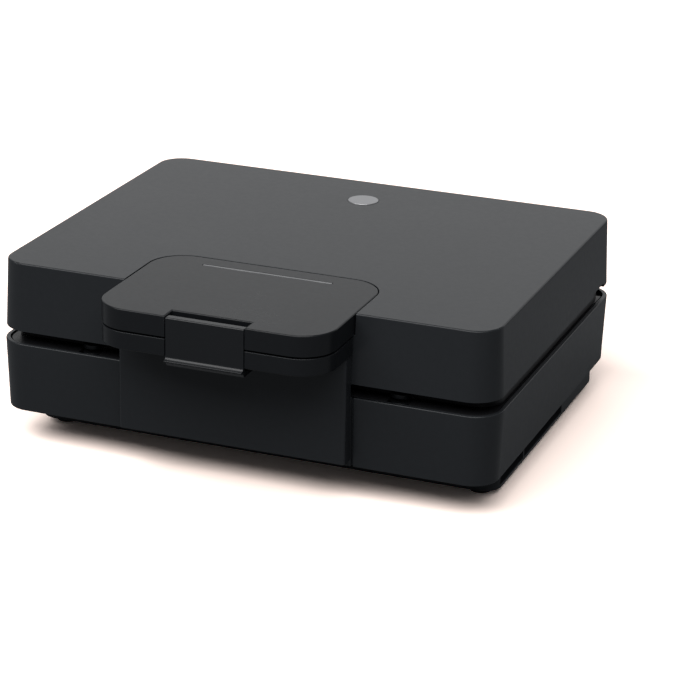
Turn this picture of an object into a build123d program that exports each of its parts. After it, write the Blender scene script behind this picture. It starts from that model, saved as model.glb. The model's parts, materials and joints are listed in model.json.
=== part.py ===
"""Sandwich maker with a hinged lid, a handle with a swing latch, lift-out plates and a cord-wrap base."""
from build123d import *
from math import tan, radians
import os

# Driving sizes, in millimetres and degrees

# Housing
LID_WIDTH = 285.0
LID_DEPTH = 222.5
LID_HEIGHT = 38.9
LID_DRAFT = 2.4
LID_TOP = 2.8
NOTCH_FRONT = 71.0
NOTCH_REAR = 92.0
NOTCH_HEIGHT = 2.1
HOUSING_CORNER = 15.0
TOP_EDGE = 1.0
WALL = 2.5
GAP = 7.5
RIM_STEP = 0.5
BASE_HEIGHT = 39.6
BASE_DRAFT = 2.1
BASE_FLOOR = 2.5
RIM_EDGE = 0.6

# Bottom cover, its cord channel and the feet
COVER_WIDTH = 273.6
COVER_FRONT = -80.0
COVER_REAR = 108.0
COVER_HEIGHT = 16.2
COVER_CORNER = 10.0
COVER_WALL = 2.2
CHANNEL_DEPTH = 9.0
CHANNEL_LIP = 1.8
CHANNEL_FRONT = -72.0
CHANNEL_REAR = 41.0
CHANNEL_RIB = -31.0
CHANNEL_RIB_THICKNESS = 1.8
COVER_EDGE = 0.6
FOOT_HEIGHT = 4.3
FOOT_RADIUS = 6.0
FOOT_INSET = 12.5
FOOT_PEG = 2.5
FOOT_EDGE = 0.8

# Handles, front cover and latch
HANDLE_WIDTH = 132.0
HANDLE_FRONT = -155.0
HANDLE_BACK = -60.3
HANDLE_CORNER = 20.0
UPPER_HANDLE_HEIGHT = 11.7
LOWER_HANDLE_HEIGHT = 9.6
HANDLE_SEAM = 1.0
HANDLE_EDGE = 0.8
HANDLE_SCREW_X = 54.0
HANDLE_SCREW_FRONT = -102.0
INLAY_GAP = 0.5
COLUMN_INSET = 0.5
COLUMN_FRONT = -121.0
COLUMN_LIFT = 4.0
COLUMN_WALL = 2.2
COLUMN_EDGE = 1.5
LID_CLEARANCE = 0.5
TONGUE_HEIGHT = 14.0
LATCH_WIDTH = 44.0
LATCH_SIDE_GAP = 0.5
LATCH_NOTCH = 10.0
LATCH_THICKNESS = 2.8
LATCH_BARREL = 3.7
LATCH_PIN = 1.5
LATCH_PIN_DROP = 4.5
LATCH_PIN_END = 5.5
LATCH_LIP = 2.5
LATCH_LIP_HEIGHT = 4.2
HOOK_REACH = 14.0
HOOK_THICKNESS = 2.6
HOOK_CLEARANCE = 0.3
KEEPER_WIDTH = 30.0
KEEPER_DEPTH = 5.0
KEEPER_HEIGHT = 2.4
KEEPER_PEG = 1.5

# Light bar and badge
LIGHT_WIDTH = 75.6
LIGHT_DEPTH = 1.6
LIGHT_Y = -72.0
LIGHT_GAP = 0.2
BOARD_WIDTH = 84.0
BOARD_DEPTH = 14.0
BOARD_THICKNESS = 1.6
BOARD_ROOM = 1.0
BOARD_POST = 2.6
BOARD_POST_HEIGHT = 2.6
BOARD_POST_X = 36.0
BADGE_RADIUS = 9.0
BADGE_THICKNESS = 1.1
BADGE_RECESS = 0.8
BADGE_Y = 74.6

# Hinge
HINGE_SETBACK = 1.4
HINGE_BARREL = 5.0
HINGE_PIN = 2.0
HINGE_INSET = 47.5
LID_KNUCKLE = 20.0
BASE_KNUCKLE = 10.0
KNUCKLE_GAP = 0.4
KNUCKLE_RELIEF = 0.5
HINGE_WEB = 16.0
PIN_HEAD = 1.2

# Plate carriers and cooking plates
BEZEL_GROOVE = 0.9
BEZEL_CORNER = 13.0
BEZEL_REAR = 98.0
BLOCK_FRONT = -100.0
BLOCK_CORNER = 13.5
BLOCK_CEILING = 2.0
DECK = 4.5
SKIRT = 11.5
SKIRT_WALL = 2.0
PARTING_GAP = 1.0
PARTING_DROP = 0.1
POCKET_MARGIN = 2.5
POCKET_MARGIN_Y = 1.5
PLATE_INSET = 6.5
PLATE_FRONT = -96.0
PLATE_REAR = 92.0
PLATE_CORNER = 12.0
PLATE_GAP = 0.6
FLANGE = 2.0
FLANGE_WIDTH = 16.0
CELL_GAP = 8.0
CELL_DEPTH = 144.0
RIDGE = 3.5
POCKET_CORNER = 9.0
POCKET_DEPTH = 12.0
POCKET_TAPER = 14.0
PLATE_WALL = 2.0

# Plate release tabs
TAB_X = 89.8
TAB_WIDTH = 11.3
TAB_FRONT = -107.5
TAB_NOSE = 2.4
TAB_NOSE_DROP = 0.7
TAB_STEM_WIDTH = 9.0
TAB_STEM = 2.2
TAB_GAP = 0.5
TAB_SIDE_GAP = 0.35
TAB_TRAVEL = 3.0
TAB_STEP_REAR = -100.5
LUG_Y = -95.5
LUG_THICKNESS = 1.5
LUG_WIDTH = 4.6
BARB = 2.2
BARB_HEIGHT = 1.6
TAB_REAR = -86.5
SPRING_SPACE = 4.5
SPRING_STRIP = 0.4
SPRING_MARGIN = 1.0
TAB_WALL = 3.5
TAB_END_WALL = 1.0

# Heating and electrics
HEATER_RADIUS = 3.3
HEATER_BEND = 15.0
HEATER_SIDE_INSET = 32.0
HEATER_FRONT_INSET = 8.0
HEATER_REAR_INSET = 18.0
HEATER_LEG = 15.0
REFLECTOR_WALL = 1.0
REFLECTOR_GAP = 0.75
REFLECTOR_FLANGE = 4.0
THERMOSTAT_RADIUS = 9.0
THERMOSTAT_HEIGHT = 9.0
THERMOSTAT_X = 40.0
FUSE_RADIUS = 3.0
FUSE_LENGTH = 22.0
FUSE_X = -40.0
TERMINAL_WIDTH = 46.0
TERMINAL_DEPTH = 18.0
TERMINAL_X = -70.0
TERMINAL_Y = 78.0
INLET_X = -40.0
INLET_Z_DROP = 22.0
INLET_RADIUS = 7.0
INLET_BORE = 3.4
INLET_REACH = 4.6
INLET_FLANGE = 1.6

# Fasteners
SCREW = 1.5
SCREW_HEAD = 3.0
SCREW_HEAD_HEIGHT = 2.0
SCREW_FIT = 0.05
FLAT_HEAD = 1.4
SMALL_SCREW = 1.2
SMALL_HEAD = 2.6
SMALL_HEAD_HEIGHT = 1.2
BOSS = 4.0
POST_INSET = 5.0
POST_FRONT = -92.0
POST_REAR = 86.0
COVER_SCREW_X = 108.0
COVER_SCREW_FRONT = -58.0
COVER_SCREW_REAR = 88.0
FIT = 0.05

# Places worked out from the driving sizes
COVER_Z = FOOT_HEIGHT
BASE_Z = COVER_Z + COVER_HEIGHT
RIM_Z = BASE_Z + BASE_HEIGHT
LID_Z = RIM_Z + GAP
TOP_Z = LID_Z + LID_HEIGHT
LID_SPREAD = LID_HEIGHT * tan(radians(LID_DRAFT))
LID_LOW_HALF_WIDTH = LID_WIDTH / 2 + LID_SPREAD
LID_LOW_HALF_DEPTH = LID_DEPTH / 2 + LID_SPREAD
RIM_HALF_WIDTH = LID_LOW_HALF_WIDTH + RIM_STEP
RIM_HALF_DEPTH = LID_LOW_HALF_DEPTH + RIM_STEP / 2
RIM_CORNER = HOUSING_CORNER + LID_SPREAD
HINGE_Y = RIM_HALF_DEPTH + HINGE_SETBACK
HINGE_Z = (RIM_Z + LID_Z) / 2
HINGE_X = LID_WIDTH / 2 - HINGE_INSET
HANDLE_Z = TOP_Z - UPPER_HANDLE_HEIGHT
LOWER_HANDLE_TOP = HANDLE_Z - HANDLE_SEAM
LOWER_HANDLE_Z = LOWER_HANDLE_TOP - LOWER_HANDLE_HEIGHT
COLUMN_WIDTH = HANDLE_WIDTH - 2 * COLUMN_INSET
COLUMN_Z = BASE_Z + COLUMN_LIFT
COLUMN_BACK = -(LID_LOW_HALF_DEPTH + LID_CLEARANCE)
PARTING_Z = RIM_Z - PARTING_DROP
DECK_TOP = PARTING_Z - PARTING_GAP / 2
DECK_Z = DECK_TOP - DECK
FLANGE_Z = DECK_TOP - FLANGE
PLATE_Y = (PLATE_FRONT + PLATE_REAR) / 2
PLATE_SIDE = LID_WIDTH / 2 - PLATE_INSET
CELL_WIDTH = PLATE_SIDE - FLANGE_WIDTH - CELL_GAP / 2
CELL_SPACING = CELL_WIDTH + CELL_GAP
POST_X = PLATE_SIDE - POST_INSET
POCKET_BACK = DECK_TOP - POCKET_DEPTH - PLATE_WALL
BEZEL_HALF_WIDTH = RIM_HALF_WIDTH - WALL - BEZEL_GROOVE
BEZEL_HALF_DEPTH = RIM_HALF_DEPTH - WALL - BEZEL_GROOVE
FRONT_REACH = -HANDLE_FRONT + LATCH_LIP
REAR_REACH = HINGE_Y + HINGE_BARREL
BODY_Y = (FRONT_REACH - REAR_REACH) / 2

os.makedirs("parts", exist_ok=True)


def level(z):
    """Plane at height z over the centre of the housing, facing up."""
    return Plane((0, BODY_Y, z))


def below(z):
    """Plane at height z over the centre of the housing, facing down, so its y runs forward."""
    return Plane((0, BODY_Y, z), x_dir=(1, 0, 0), z_dir=(0, 0, -1))


def side(x):
    """Upright plane at x for side views: its x runs to the rear and its y runs up."""
    return Plane((x, BODY_Y, 0), x_dir=(0, 1, 0), z_dir=(1, 0, 0))


def front(y):
    """Upright plane at y, facing the rear: its x runs to the left and its y runs up."""
    return Plane((0, BODY_Y + y, 0), x_dir=(-1, 0, 0), z_dir=(0, 1, 0))


def base_front(z):
    """Distance from the housing's centre to the base's front face at height z."""
    return RIM_HALF_DEPTH - (RIM_Z - z) * tan(radians(BASE_DRAFT))


def save(piece, name):
    """Labels a finished piece and writes it."""
    piece.part.label = name
    export_step(piece.part, f"parts/{name}.step")


POSTS = [(x, y) for x in (-POST_X, POST_X) for y in (POST_FRONT, POST_REAR)]
COVER_SCREWS = [(x, y) for x in (-COVER_SCREW_X, COVER_SCREW_X)
                for y in (COVER_SCREW_FRONT, COVER_SCREW_REAR)]
HANDLE_SCREWS = [(x, y) for x in (-HANDLE_SCREW_X, HANDLE_SCREW_X)
                 for y in (HANDLE_SCREW_FRONT, HANDLE_BACK - HANDLE_CORNER / 2)]
BOARD_POSTS = [(-BOARD_POST_X, LIGHT_Y), (BOARD_POST_X, LIGHT_Y)]

# Lid shell: drafted hood, hollow from below, with a recess for the handle and two hinge knuckles
TUB_WIDTH = HANDLE_WIDTH + 2 * (INLAY_GAP + WALL)
TUB_BACK = HANDLE_BACK + INLAY_GAP + WALL
TUB_FRONT = -LID_DEPTH / 2 + WALL / 2
RECESS_FRONT = HANDLE_FRONT
RECESS_BACK = HANDLE_BACK + INLAY_GAP
HINGE_ROOM = LID_KNUCKLE / 2 + BASE_KNUCKLE + PIN_HEAD + 2 * KNUCKLE_GAP

with BuildPart() as lid_shell:
    with BuildSketch(level(LID_Z)):
        RectangleRounded(2 * LID_LOW_HALF_WIDTH, 2 * LID_LOW_HALF_DEPTH, RIM_CORNER)
    extrude(amount=LID_HEIGHT, taper=LID_DRAFT)
    fillet(lid_shell.faces().sort_by(Axis.Z)[-1].edges(), TOP_EDGE)
    with BuildSketch(level(LID_Z)):
        RectangleRounded(2 * (LID_LOW_HALF_WIDTH - WALL), 2 * (LID_LOW_HALF_DEPTH - WALL), RIM_CORNER - WALL)
    extrude(amount=LID_HEIGHT - LID_TOP, taper=LID_DRAFT, mode=Mode.SUBTRACT)
    with BuildSketch(level(LID_Z)):
        for x in (-LID_LOW_HALF_WIDTH, LID_LOW_HALF_WIDTH):
            with Locations((x, (NOTCH_FRONT + NOTCH_REAR) / 2)):
                Rectangle(2 * (WALL + LID_SPREAD), NOTCH_REAR - NOTCH_FRONT)
    extrude(amount=NOTCH_HEIGHT, mode=Mode.SUBTRACT)
    with BuildSketch(level(HANDLE_Z - WALL)):
        with Locations((0, (TUB_FRONT + TUB_BACK) / 2)):
            Rectangle(TUB_WIDTH, TUB_BACK - TUB_FRONT)
    extrude(amount=UPPER_HANDLE_HEIGHT + WALL - LID_TOP / 2)
    with BuildSketch(level(HANDLE_Z)):
        with Locations((0, (RECESS_FRONT + RECESS_BACK) / 2)):
            RectangleRounded(HANDLE_WIDTH + 2 * INLAY_GAP, RECESS_BACK - RECESS_FRONT,
                             HANDLE_CORNER + INLAY_GAP)
    extrude(amount=UPPER_HANDLE_HEIGHT + TOP_EDGE, mode=Mode.SUBTRACT)
    with BuildSketch(level(HANDLE_Z)):
        with Locations(*BOARD_POSTS):
            Circle(BOARD_POST)
    extrude(amount=BOARD_POST_HEIGHT)
    with BuildSketch(level(HANDLE_Z - WALL)):
        with Locations(*HANDLE_SCREWS):
            Circle(SCREW + SCREW_FIT)
    extrude(amount=WALL, mode=Mode.SUBTRACT)
    with BuildSketch(level(2 * PARTING_Z - DECK_Z)):
        with Locations(*POSTS):
            Circle(BOSS)
    extrude(amount=TOP_Z - LID_TOP - (2 * PARTING_Z - DECK_Z))
    with BuildSketch(level(2 * PARTING_Z - DECK_Z)):
        with Locations(*POSTS):
            Circle(SCREW + SCREW_FIT)
    extrude(amount=DECK + SKIRT, mode=Mode.SUBTRACT)
    with BuildSketch(level(TOP_Z - BADGE_RECESS)):
        with Locations((0, BADGE_Y)):
            Circle(BADGE_RADIUS + LIGHT_GAP)
    extrude(amount=BADGE_RECESS, mode=Mode.SUBTRACT)
    for x in (-HINGE_X, HINGE_X):
        with BuildSketch(side(x)):
            with Locations((HINGE_Y, HINGE_Z)):
                Circle(HINGE_BARREL + KNUCKLE_RELIEF)
        extrude(amount=HINGE_ROOM, both=True, mode=Mode.SUBTRACT)
        with BuildSketch(side(x)):
            with Locations((HINGE_Y, HINGE_Z)):
                Circle(HINGE_BARREL)
            with BuildLine():
                Polyline((LID_LOW_HALF_DEPTH - WALL / 2, LID_Z),
                         (LID_LOW_HALF_DEPTH - WALL / 2, HINGE_Z + HINGE_WEB),
                         (LID_LOW_HALF_DEPTH, HINGE_Z + HINGE_WEB),
                         (HINGE_Y + HINGE_BARREL, HINGE_Z),
                         (HINGE_Y, HINGE_Z), close=True)
            make_face()
            with Locations((HINGE_Y, HINGE_Z)):
                Circle(HINGE_PIN + FIT, mode=Mode.SUBTRACT)
        extrude(amount=LID_KNUCKLE / 2, both=True)
save(lid_shell, "lid_shell")

# Upper handle: flush with the lid's top, notched for the latch, with a slot for the light bar
HANDLE_LENGTH = HANDLE_BACK - HANDLE_FRONT
HANDLE_MIDDLE = (HANDLE_BACK + HANDLE_FRONT) / 2
NOTCH_WIDTH = LATCH_WIDTH + 2 * LATCH_SIDE_GAP
LATCH_AXIS_Y = HANDLE_FRONT + LATCH_BARREL
LATCH_AXIS_Z = TOP_Z - LATCH_PIN_DROP
BOARD_Z = HANDLE_Z + BOARD_POST_HEIGHT

with BuildPart() as upper_handle:
    with BuildSketch(level(HANDLE_Z)):
        with Locations((0, HANDLE_MIDDLE)):
            RectangleRounded(HANDLE_WIDTH, HANDLE_LENGTH, HANDLE_CORNER)
        with Locations((0, HANDLE_FRONT)):
            Rectangle(NOTCH_WIDTH, 2 * LATCH_NOTCH, mode=Mode.SUBTRACT)
    extrude(amount=UPPER_HANDLE_HEIGHT)
    fillet(upper_handle.faces().sort_by(Axis.Z)[-1].edges(), HANDLE_EDGE)
    with BuildSketch(level(HANDLE_Z)):
        with Locations((0, LIGHT_Y)):
            Rectangle(BOARD_WIDTH + 2 * BOARD_ROOM, BOARD_DEPTH + 2 * BOARD_ROOM)
    extrude(amount=UPPER_HANDLE_HEIGHT - LID_TOP, mode=Mode.SUBTRACT)
    with BuildSketch(level(HANDLE_Z)):
        with Locations((0, LIGHT_Y)):
            Rectangle(LIGHT_WIDTH + 2 * LIGHT_GAP, LIGHT_DEPTH + 2 * LIGHT_GAP)
    extrude(amount=UPPER_HANDLE_HEIGHT, mode=Mode.SUBTRACT)
    with BuildSketch(level(HANDLE_Z)):
        with Locations(*HANDLE_SCREWS):
            Circle(SCREW + SCREW_FIT)
    extrude(amount=UPPER_HANDLE_HEIGHT - LID_TOP, mode=Mode.SUBTRACT)
    with BuildSketch(side(0)):
        with Locations((LATCH_AXIS_Y, LATCH_AXIS_Z)):
            Circle(LATCH_PIN + FIT)
    extrude(amount=NOTCH_WIDTH / 2 + LATCH_PIN_END, both=True, mode=Mode.SUBTRACT)
save(upper_handle, "upper_handle")

# Light bar and the small board that lights it
with BuildPart() as light_bar:
    with BuildSketch(level(BOARD_Z + BOARD_THICKNESS)):
        with Locations((0, LIGHT_Y)):
            SlotOverall(LIGHT_WIDTH, LIGHT_DEPTH)
    extrude(amount=TOP_Z - BOARD_Z - BOARD_THICKNESS)
save(light_bar, "light_bar")

with BuildPart() as indicator_board:
    with BuildSketch(level(BOARD_Z)):
        with Locations((0, LIGHT_Y)):
            Rectangle(BOARD_WIDTH, BOARD_DEPTH)
    extrude(amount=BOARD_THICKNESS)
save(indicator_board, "indicator_board")

# Plain round badge in its shallow recess
with BuildPart() as badge:
    with BuildSketch(level(TOP_Z - BADGE_RECESS)):
        with Locations((0, BADGE_Y)):
            Circle(BADGE_RADIUS)
    extrude(amount=BADGE_THICKNESS)
    chamfer(badge.faces().sort_by(Axis.Z)[-1].edges(), LIGHT_GAP)
save(badge, "badge")

# Latch: a swing plate with a finger lip and a hook that goes under the lower handle
HOOK_TOP = LOWER_HANDLE_Z - KEEPER_HEIGHT - HOOK_CLEARANCE
HOOK_Z = HOOK_TOP - HOOK_THICKNESS
HOOK_END = HANDLE_FRONT + HOOK_REACH
LIP_FRONT = HANDLE_FRONT - LATCH_LIP
LIP_Z = HOOK_TOP

with BuildPart() as latch:
    with BuildSketch(side(0)):
        with BuildLine():
            Polyline((HANDLE_FRONT, LATCH_AXIS_Z),
                     (HANDLE_FRONT, LIP_Z + LATCH_LIP_HEIGHT),
                     (LIP_FRONT, LIP_Z + LATCH_LIP_HEIGHT / 4),
                     (LIP_FRONT, LIP_Z),
                     (HANDLE_FRONT, LIP_Z - HOOK_THICKNESS / 3),
                     (HANDLE_FRONT + LATCH_THICKNESS / 2, HOOK_Z),
                     (HOOK_END, HOOK_Z),
                     (HOOK_END, HOOK_TOP),
                     (HANDLE_FRONT + LATCH_THICKNESS, HOOK_TOP),
                     (HANDLE_FRONT + LATCH_THICKNESS, LATCH_AXIS_Z), close=True)
        make_face()
        with Locations((LATCH_AXIS_Y, LATCH_AXIS_Z)):
            Circle(LATCH_BARREL)
            Circle(LATCH_PIN + FIT, mode=Mode.SUBTRACT)
    extrude(amount=LATCH_WIDTH / 2, both=True)
save(latch, "latch")

with BuildPart() as latch_pin:
    with BuildSketch(side(0)):
        with Locations((LATCH_AXIS_Y, LATCH_AXIS_Z)):
            Circle(LATCH_PIN)
    extrude(amount=NOTCH_WIDTH / 2 + LATCH_PIN_END - FIT, both=True)
save(latch_pin, "latch_pin")

# Lower handle: same outline in front of the lid, with a tongue down into the front cover
TONGUE_WIDTH = COLUMN_WIDTH - 8 * COLUMN_WALL
TONGUE_FRONT = COLUMN_FRONT + COLUMN_WALL + FIT
TONGUE_BACK = COLUMN_BACK - COLUMN_WALL - FIT
TONGUE_SCREW_Z = LOWER_HANDLE_Z - TONGUE_HEIGHT / 2
TONGUE_SCREWS = [(-TONGUE_WIDTH / 3, TONGUE_SCREW_Z), (TONGUE_WIDTH / 3, TONGUE_SCREW_Z)]

with BuildPart() as lower_handle:
    with BuildSketch(level(LOWER_HANDLE_Z)):
        with Locations((0, HANDLE_MIDDLE)):
            RectangleRounded(HANDLE_WIDTH, HANDLE_LENGTH, HANDLE_CORNER)
        with Locations((0, HANDLE_FRONT)):
            Rectangle(NOTCH_WIDTH, 2 * LATCH_NOTCH, mode=Mode.SUBTRACT)
        with Locations((0, COLUMN_BACK + HANDLE_LENGTH / 2)):
            Rectangle(HANDLE_WIDTH, HANDLE_LENGTH, mode=Mode.SUBTRACT)
    extrude(amount=LOWER_HANDLE_HEIGHT)
    fillet(lower_handle.faces().sort_by(Axis.Z)[0].edges().filter_by(Plane.XY), HANDLE_EDGE)
    with BuildSketch(level(LOWER_HANDLE_Z)):
        with Locations((0, (TONGUE_FRONT + TONGUE_BACK) / 2)):
            Rectangle(TONGUE_WIDTH, TONGUE_BACK - TONGUE_FRONT)
    extrude(amount=-TONGUE_HEIGHT)
    with BuildSketch(front(COLUMN_BACK)):
        with Locations(*TONGUE_SCREWS):
            Circle(SMALL_SCREW + SCREW_FIT)
    extrude(amount=COLUMN_FRONT - COLUMN_BACK, mode=Mode.SUBTRACT)
    with BuildSketch(level(LOWER_HANDLE_Z)):
        with Locations((0, HANDLE_FRONT + LATCH_NOTCH + KEEPER_DEPTH / 2)):
            Rectangle(KEEPER_WIDTH / 2, KEEPER_DEPTH / 2)
    extrude(amount=KEEPER_PEG, mode=Mode.SUBTRACT)
save(lower_handle, "lower_handle")

# Keeper that the latch's hook catches, pegged into the lower handle's underside
with BuildPart() as latch_keeper:
    with BuildSketch(level(LOWER_HANDLE_Z - KEEPER_HEIGHT)):
        with Locations((0, HANDLE_FRONT + LATCH_NOTCH + KEEPER_DEPTH / 2)):
            Rectangle(KEEPER_WIDTH, KEEPER_DEPTH)
    extrude(amount=KEEPER_HEIGHT)
    with BuildSketch(level(LOWER_HANDLE_Z)):
        with Locations((0, HANDLE_FRONT + LATCH_NOTCH + KEEPER_DEPTH / 2)):
            Rectangle(KEEPER_WIDTH / 2 - 2 * FIT, KEEPER_DEPTH / 2 - 2 * FIT)
    extrude(amount=KEEPER_PEG - FIT)
save(latch_keeper, "latch_keeper")

# Front cover: the column on the base's front face that carries the lower handle
COLUMN_SCREW_Z = (COLUMN_Z + RIM_Z) / 2
COLUMN_SCREWS = [(-COLUMN_WIDTH / 3, COLUMN_SCREW_Z), (COLUMN_WIDTH / 3, COLUMN_SCREW_Z)]

with BuildPart() as front_cover:
    with BuildSketch(side(0)):
        with BuildLine():
            Polyline((COLUMN_FRONT, COLUMN_Z),
                     (COLUMN_FRONT, LOWER_HANDLE_Z),
                     (COLUMN_BACK, LOWER_HANDLE_Z),
                     (COLUMN_BACK, RIM_Z),
                     (-base_front(RIM_Z), RIM_Z),
                     (-base_front(COLUMN_Z), COLUMN_Z), close=True)
        make_face()
    extrude(amount=COLUMN_WIDTH / 2, both=True)
    fillet(front_cover.edges().filter_by(Axis.Z).group_by(Axis.Y)[0], COLUMN_EDGE)
    with BuildSketch(level(COLUMN_Z + COLUMN_WALL)):
        with Locations((0, (TONGUE_FRONT + TONGUE_BACK) / 2)):
            Rectangle(COLUMN_WIDTH - 2 * COLUMN_WALL, TONGUE_BACK - TONGUE_FRONT + 2 * FIT)
    extrude(amount=LOWER_HANDLE_Z - COLUMN_Z - COLUMN_WALL, mode=Mode.SUBTRACT)
    with BuildSketch(level(COLUMN_Z + COLUMN_WALL)):
        with Locations((0, TONGUE_BACK + COLUMN_WALL)):
            Rectangle(COLUMN_WIDTH - 2 * COLUMN_WALL, 4 * COLUMN_WALL)
    extrude(amount=RIM_Z - COLUMN_Z - 2 * COLUMN_WALL, mode=Mode.SUBTRACT)
    with BuildSketch(front(COLUMN_FRONT + COLUMN_WALL / 2)):
        with Locations(*COLUMN_SCREWS):
            Circle(BOSS)
    extrude(amount=-COLUMN_FRONT - COLUMN_WALL / 2 - base_front(COLUMN_SCREW_Z + BOSS))
    with BuildSketch(front(COLUMN_FRONT + COLUMN_WALL)):
        with Locations(*COLUMN_SCREWS):
            Circle(SCREW + SCREW_FIT)
    extrude(amount=-COLUMN_FRONT - COLUMN_WALL - base_front(COLUMN_Z), mode=Mode.SUBTRACT)
    with BuildSketch(front(COLUMN_BACK)):
        with Locations(*TONGUE_SCREWS):
            Circle(SMALL_HEAD + SCREW_FIT)
    extrude(amount=-SMALL_HEAD_HEIGHT, mode=Mode.SUBTRACT)
    with BuildSketch(front(COLUMN_BACK)):
        with Locations(*TONGUE_SCREWS):
            Circle(SMALL_SCREW + SCREW_FIT)
    extrude(amount=-COLUMN_WALL - FIT, mode=Mode.SUBTRACT)
save(front_cover, "front_cover")

# Base shell: drafted tray with a floor, posts for the plate carrier, hinge ears and the cord inlet's hole
FLOOR_TOP = BASE_Z + BASE_FLOOR
EAR_OFFSET = (LID_KNUCKLE + BASE_KNUCKLE) / 2 + KNUCKLE_GAP
EAR_X = [x + dx for x in (-HINGE_X, HINGE_X) for dx in (-EAR_OFFSET, EAR_OFFSET)]
INLET_Z = RIM_Z - INLET_Z_DROP
FLOOR_HOLE_WIDTH = 2 * (COVER_SCREW_X - 3 * BOSS)
FLOOR_HOLE_FRONT = COVER_SCREW_FRONT
FLOOR_HOLE_REAR = TERMINAL_Y - TERMINAL_DEPTH
HEAD_ROOM = SCREW_HEAD + 4 * SCREW_FIT

with BuildPart() as base_shell:
    with BuildSketch(below(RIM_Z)):
        RectangleRounded(2 * RIM_HALF_WIDTH, 2 * RIM_HALF_DEPTH, RIM_CORNER)
    extrude(amount=BASE_HEIGHT, taper=BASE_DRAFT)
    fillet(base_shell.faces().sort_by(Axis.Z)[-1].edges(), RIM_EDGE)
    with BuildSketch(below(RIM_Z)):
        RectangleRounded(2 * (RIM_HALF_WIDTH - WALL), 2 * (RIM_HALF_DEPTH - WALL), RIM_CORNER - WALL)
    extrude(amount=BASE_HEIGHT - BASE_FLOOR, taper=BASE_DRAFT, mode=Mode.SUBTRACT)
    with BuildSketch(level(BASE_Z)):
        with Locations((0, (FLOOR_HOLE_FRONT + FLOOR_HOLE_REAR) / 2)):
            RectangleRounded(FLOOR_HOLE_WIDTH, FLOOR_HOLE_REAR - FLOOR_HOLE_FRONT, COVER_CORNER)
        with Locations(*COVER_SCREWS):
            Circle(BOSS)
    extrude(amount=BASE_FLOOR, mode=Mode.SUBTRACT)
    with BuildSketch(level(BASE_Z)):
        with Locations(*COVER_SCREWS):
            Circle(2 * BOSS)
            Circle(SCREW + SCREW_FIT, mode=Mode.SUBTRACT)
    extrude(amount=2 * BASE_FLOOR)
    with BuildSketch(level(FLOOR_TOP)):
        with Locations(*POSTS):
            Circle(BOSS)
    extrude(amount=DECK_Z - FLOOR_TOP)
    with BuildSketch(level(BASE_Z)):
        with Locations(*POSTS):
            Circle(SCREW + SCREW_FIT)
    extrude(amount=DECK_Z - BASE_Z, mode=Mode.SUBTRACT)
    with BuildSketch(level(BASE_Z)):
        with Locations(*POSTS):
            Circle(HEAD_ROOM)
    extrude(amount=SCREW_HEAD_HEIGHT, mode=Mode.SUBTRACT)
    with BuildSketch(front(-RIM_HALF_DEPTH)):
        with Locations(*COLUMN_SCREWS):
            Circle(SCREW + SCREW_FIT)
    extrude(amount=2 * WALL, mode=Mode.SUBTRACT)
    with BuildSketch(front(RIM_HALF_DEPTH - 2 * WALL)):
        with Locations((-INLET_X, INLET_Z)):
            Circle(INLET_RADIUS + FIT)
    extrude(amount=2 * WALL, mode=Mode.SUBTRACT)
    for x in (-HINGE_X, HINGE_X):
        with BuildSketch(side(x)):
            with Locations((HINGE_Y, HINGE_Z)):
                Circle(HINGE_BARREL + KNUCKLE_RELIEF)
        extrude(amount=LID_KNUCKLE / 2 + KNUCKLE_GAP, both=True, mode=Mode.SUBTRACT)
    for x in EAR_X:
        with BuildSketch(side(x)):
            with Locations((HINGE_Y, HINGE_Z)):
                Circle(HINGE_BARREL)
            with BuildLine():
                Polyline((base_front(RIM_Z) - WALL, RIM_Z),
                         (base_front(RIM_Z) - WALL, HINGE_Z - HINGE_WEB),
                         (base_front(RIM_Z) - WALL / 2, HINGE_Z - HINGE_WEB),
                         (HINGE_Y + HINGE_BARREL, HINGE_Z),
                         (HINGE_Y, HINGE_Z), close=True)
            make_face()
            with Locations((HINGE_Y, HINGE_Z)):
                Circle(HINGE_PIN + FIT, mode=Mode.SUBTRACT)
        extrude(amount=BASE_KNUCKLE / 2, both=True)
save(base_shell, "base_shell")

# Hinge pins, headed at their outer ends
PIN_HALF = LID_KNUCKLE / 2 + KNUCKLE_GAP + BASE_KNUCKLE
for name, outward in (("left_hinge_pin", -1), ("right_hinge_pin", 1)):
    with BuildPart() as hinge_pin:
        with BuildSketch(side(outward * HINGE_X)):
            with Locations((HINGE_Y, HINGE_Z)):
                Circle(HINGE_PIN)
        extrude(amount=PIN_HALF, both=True)
        with BuildSketch(side(outward * (HINGE_X + PIN_HALF + PIN_HEAD / 2))):
            with Locations((HINGE_Y, HINGE_Z)):
                Circle(1.5 * HINGE_PIN)
        extrude(amount=PIN_HEAD / 2, both=True)
    save(hinge_pin, name)

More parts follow.
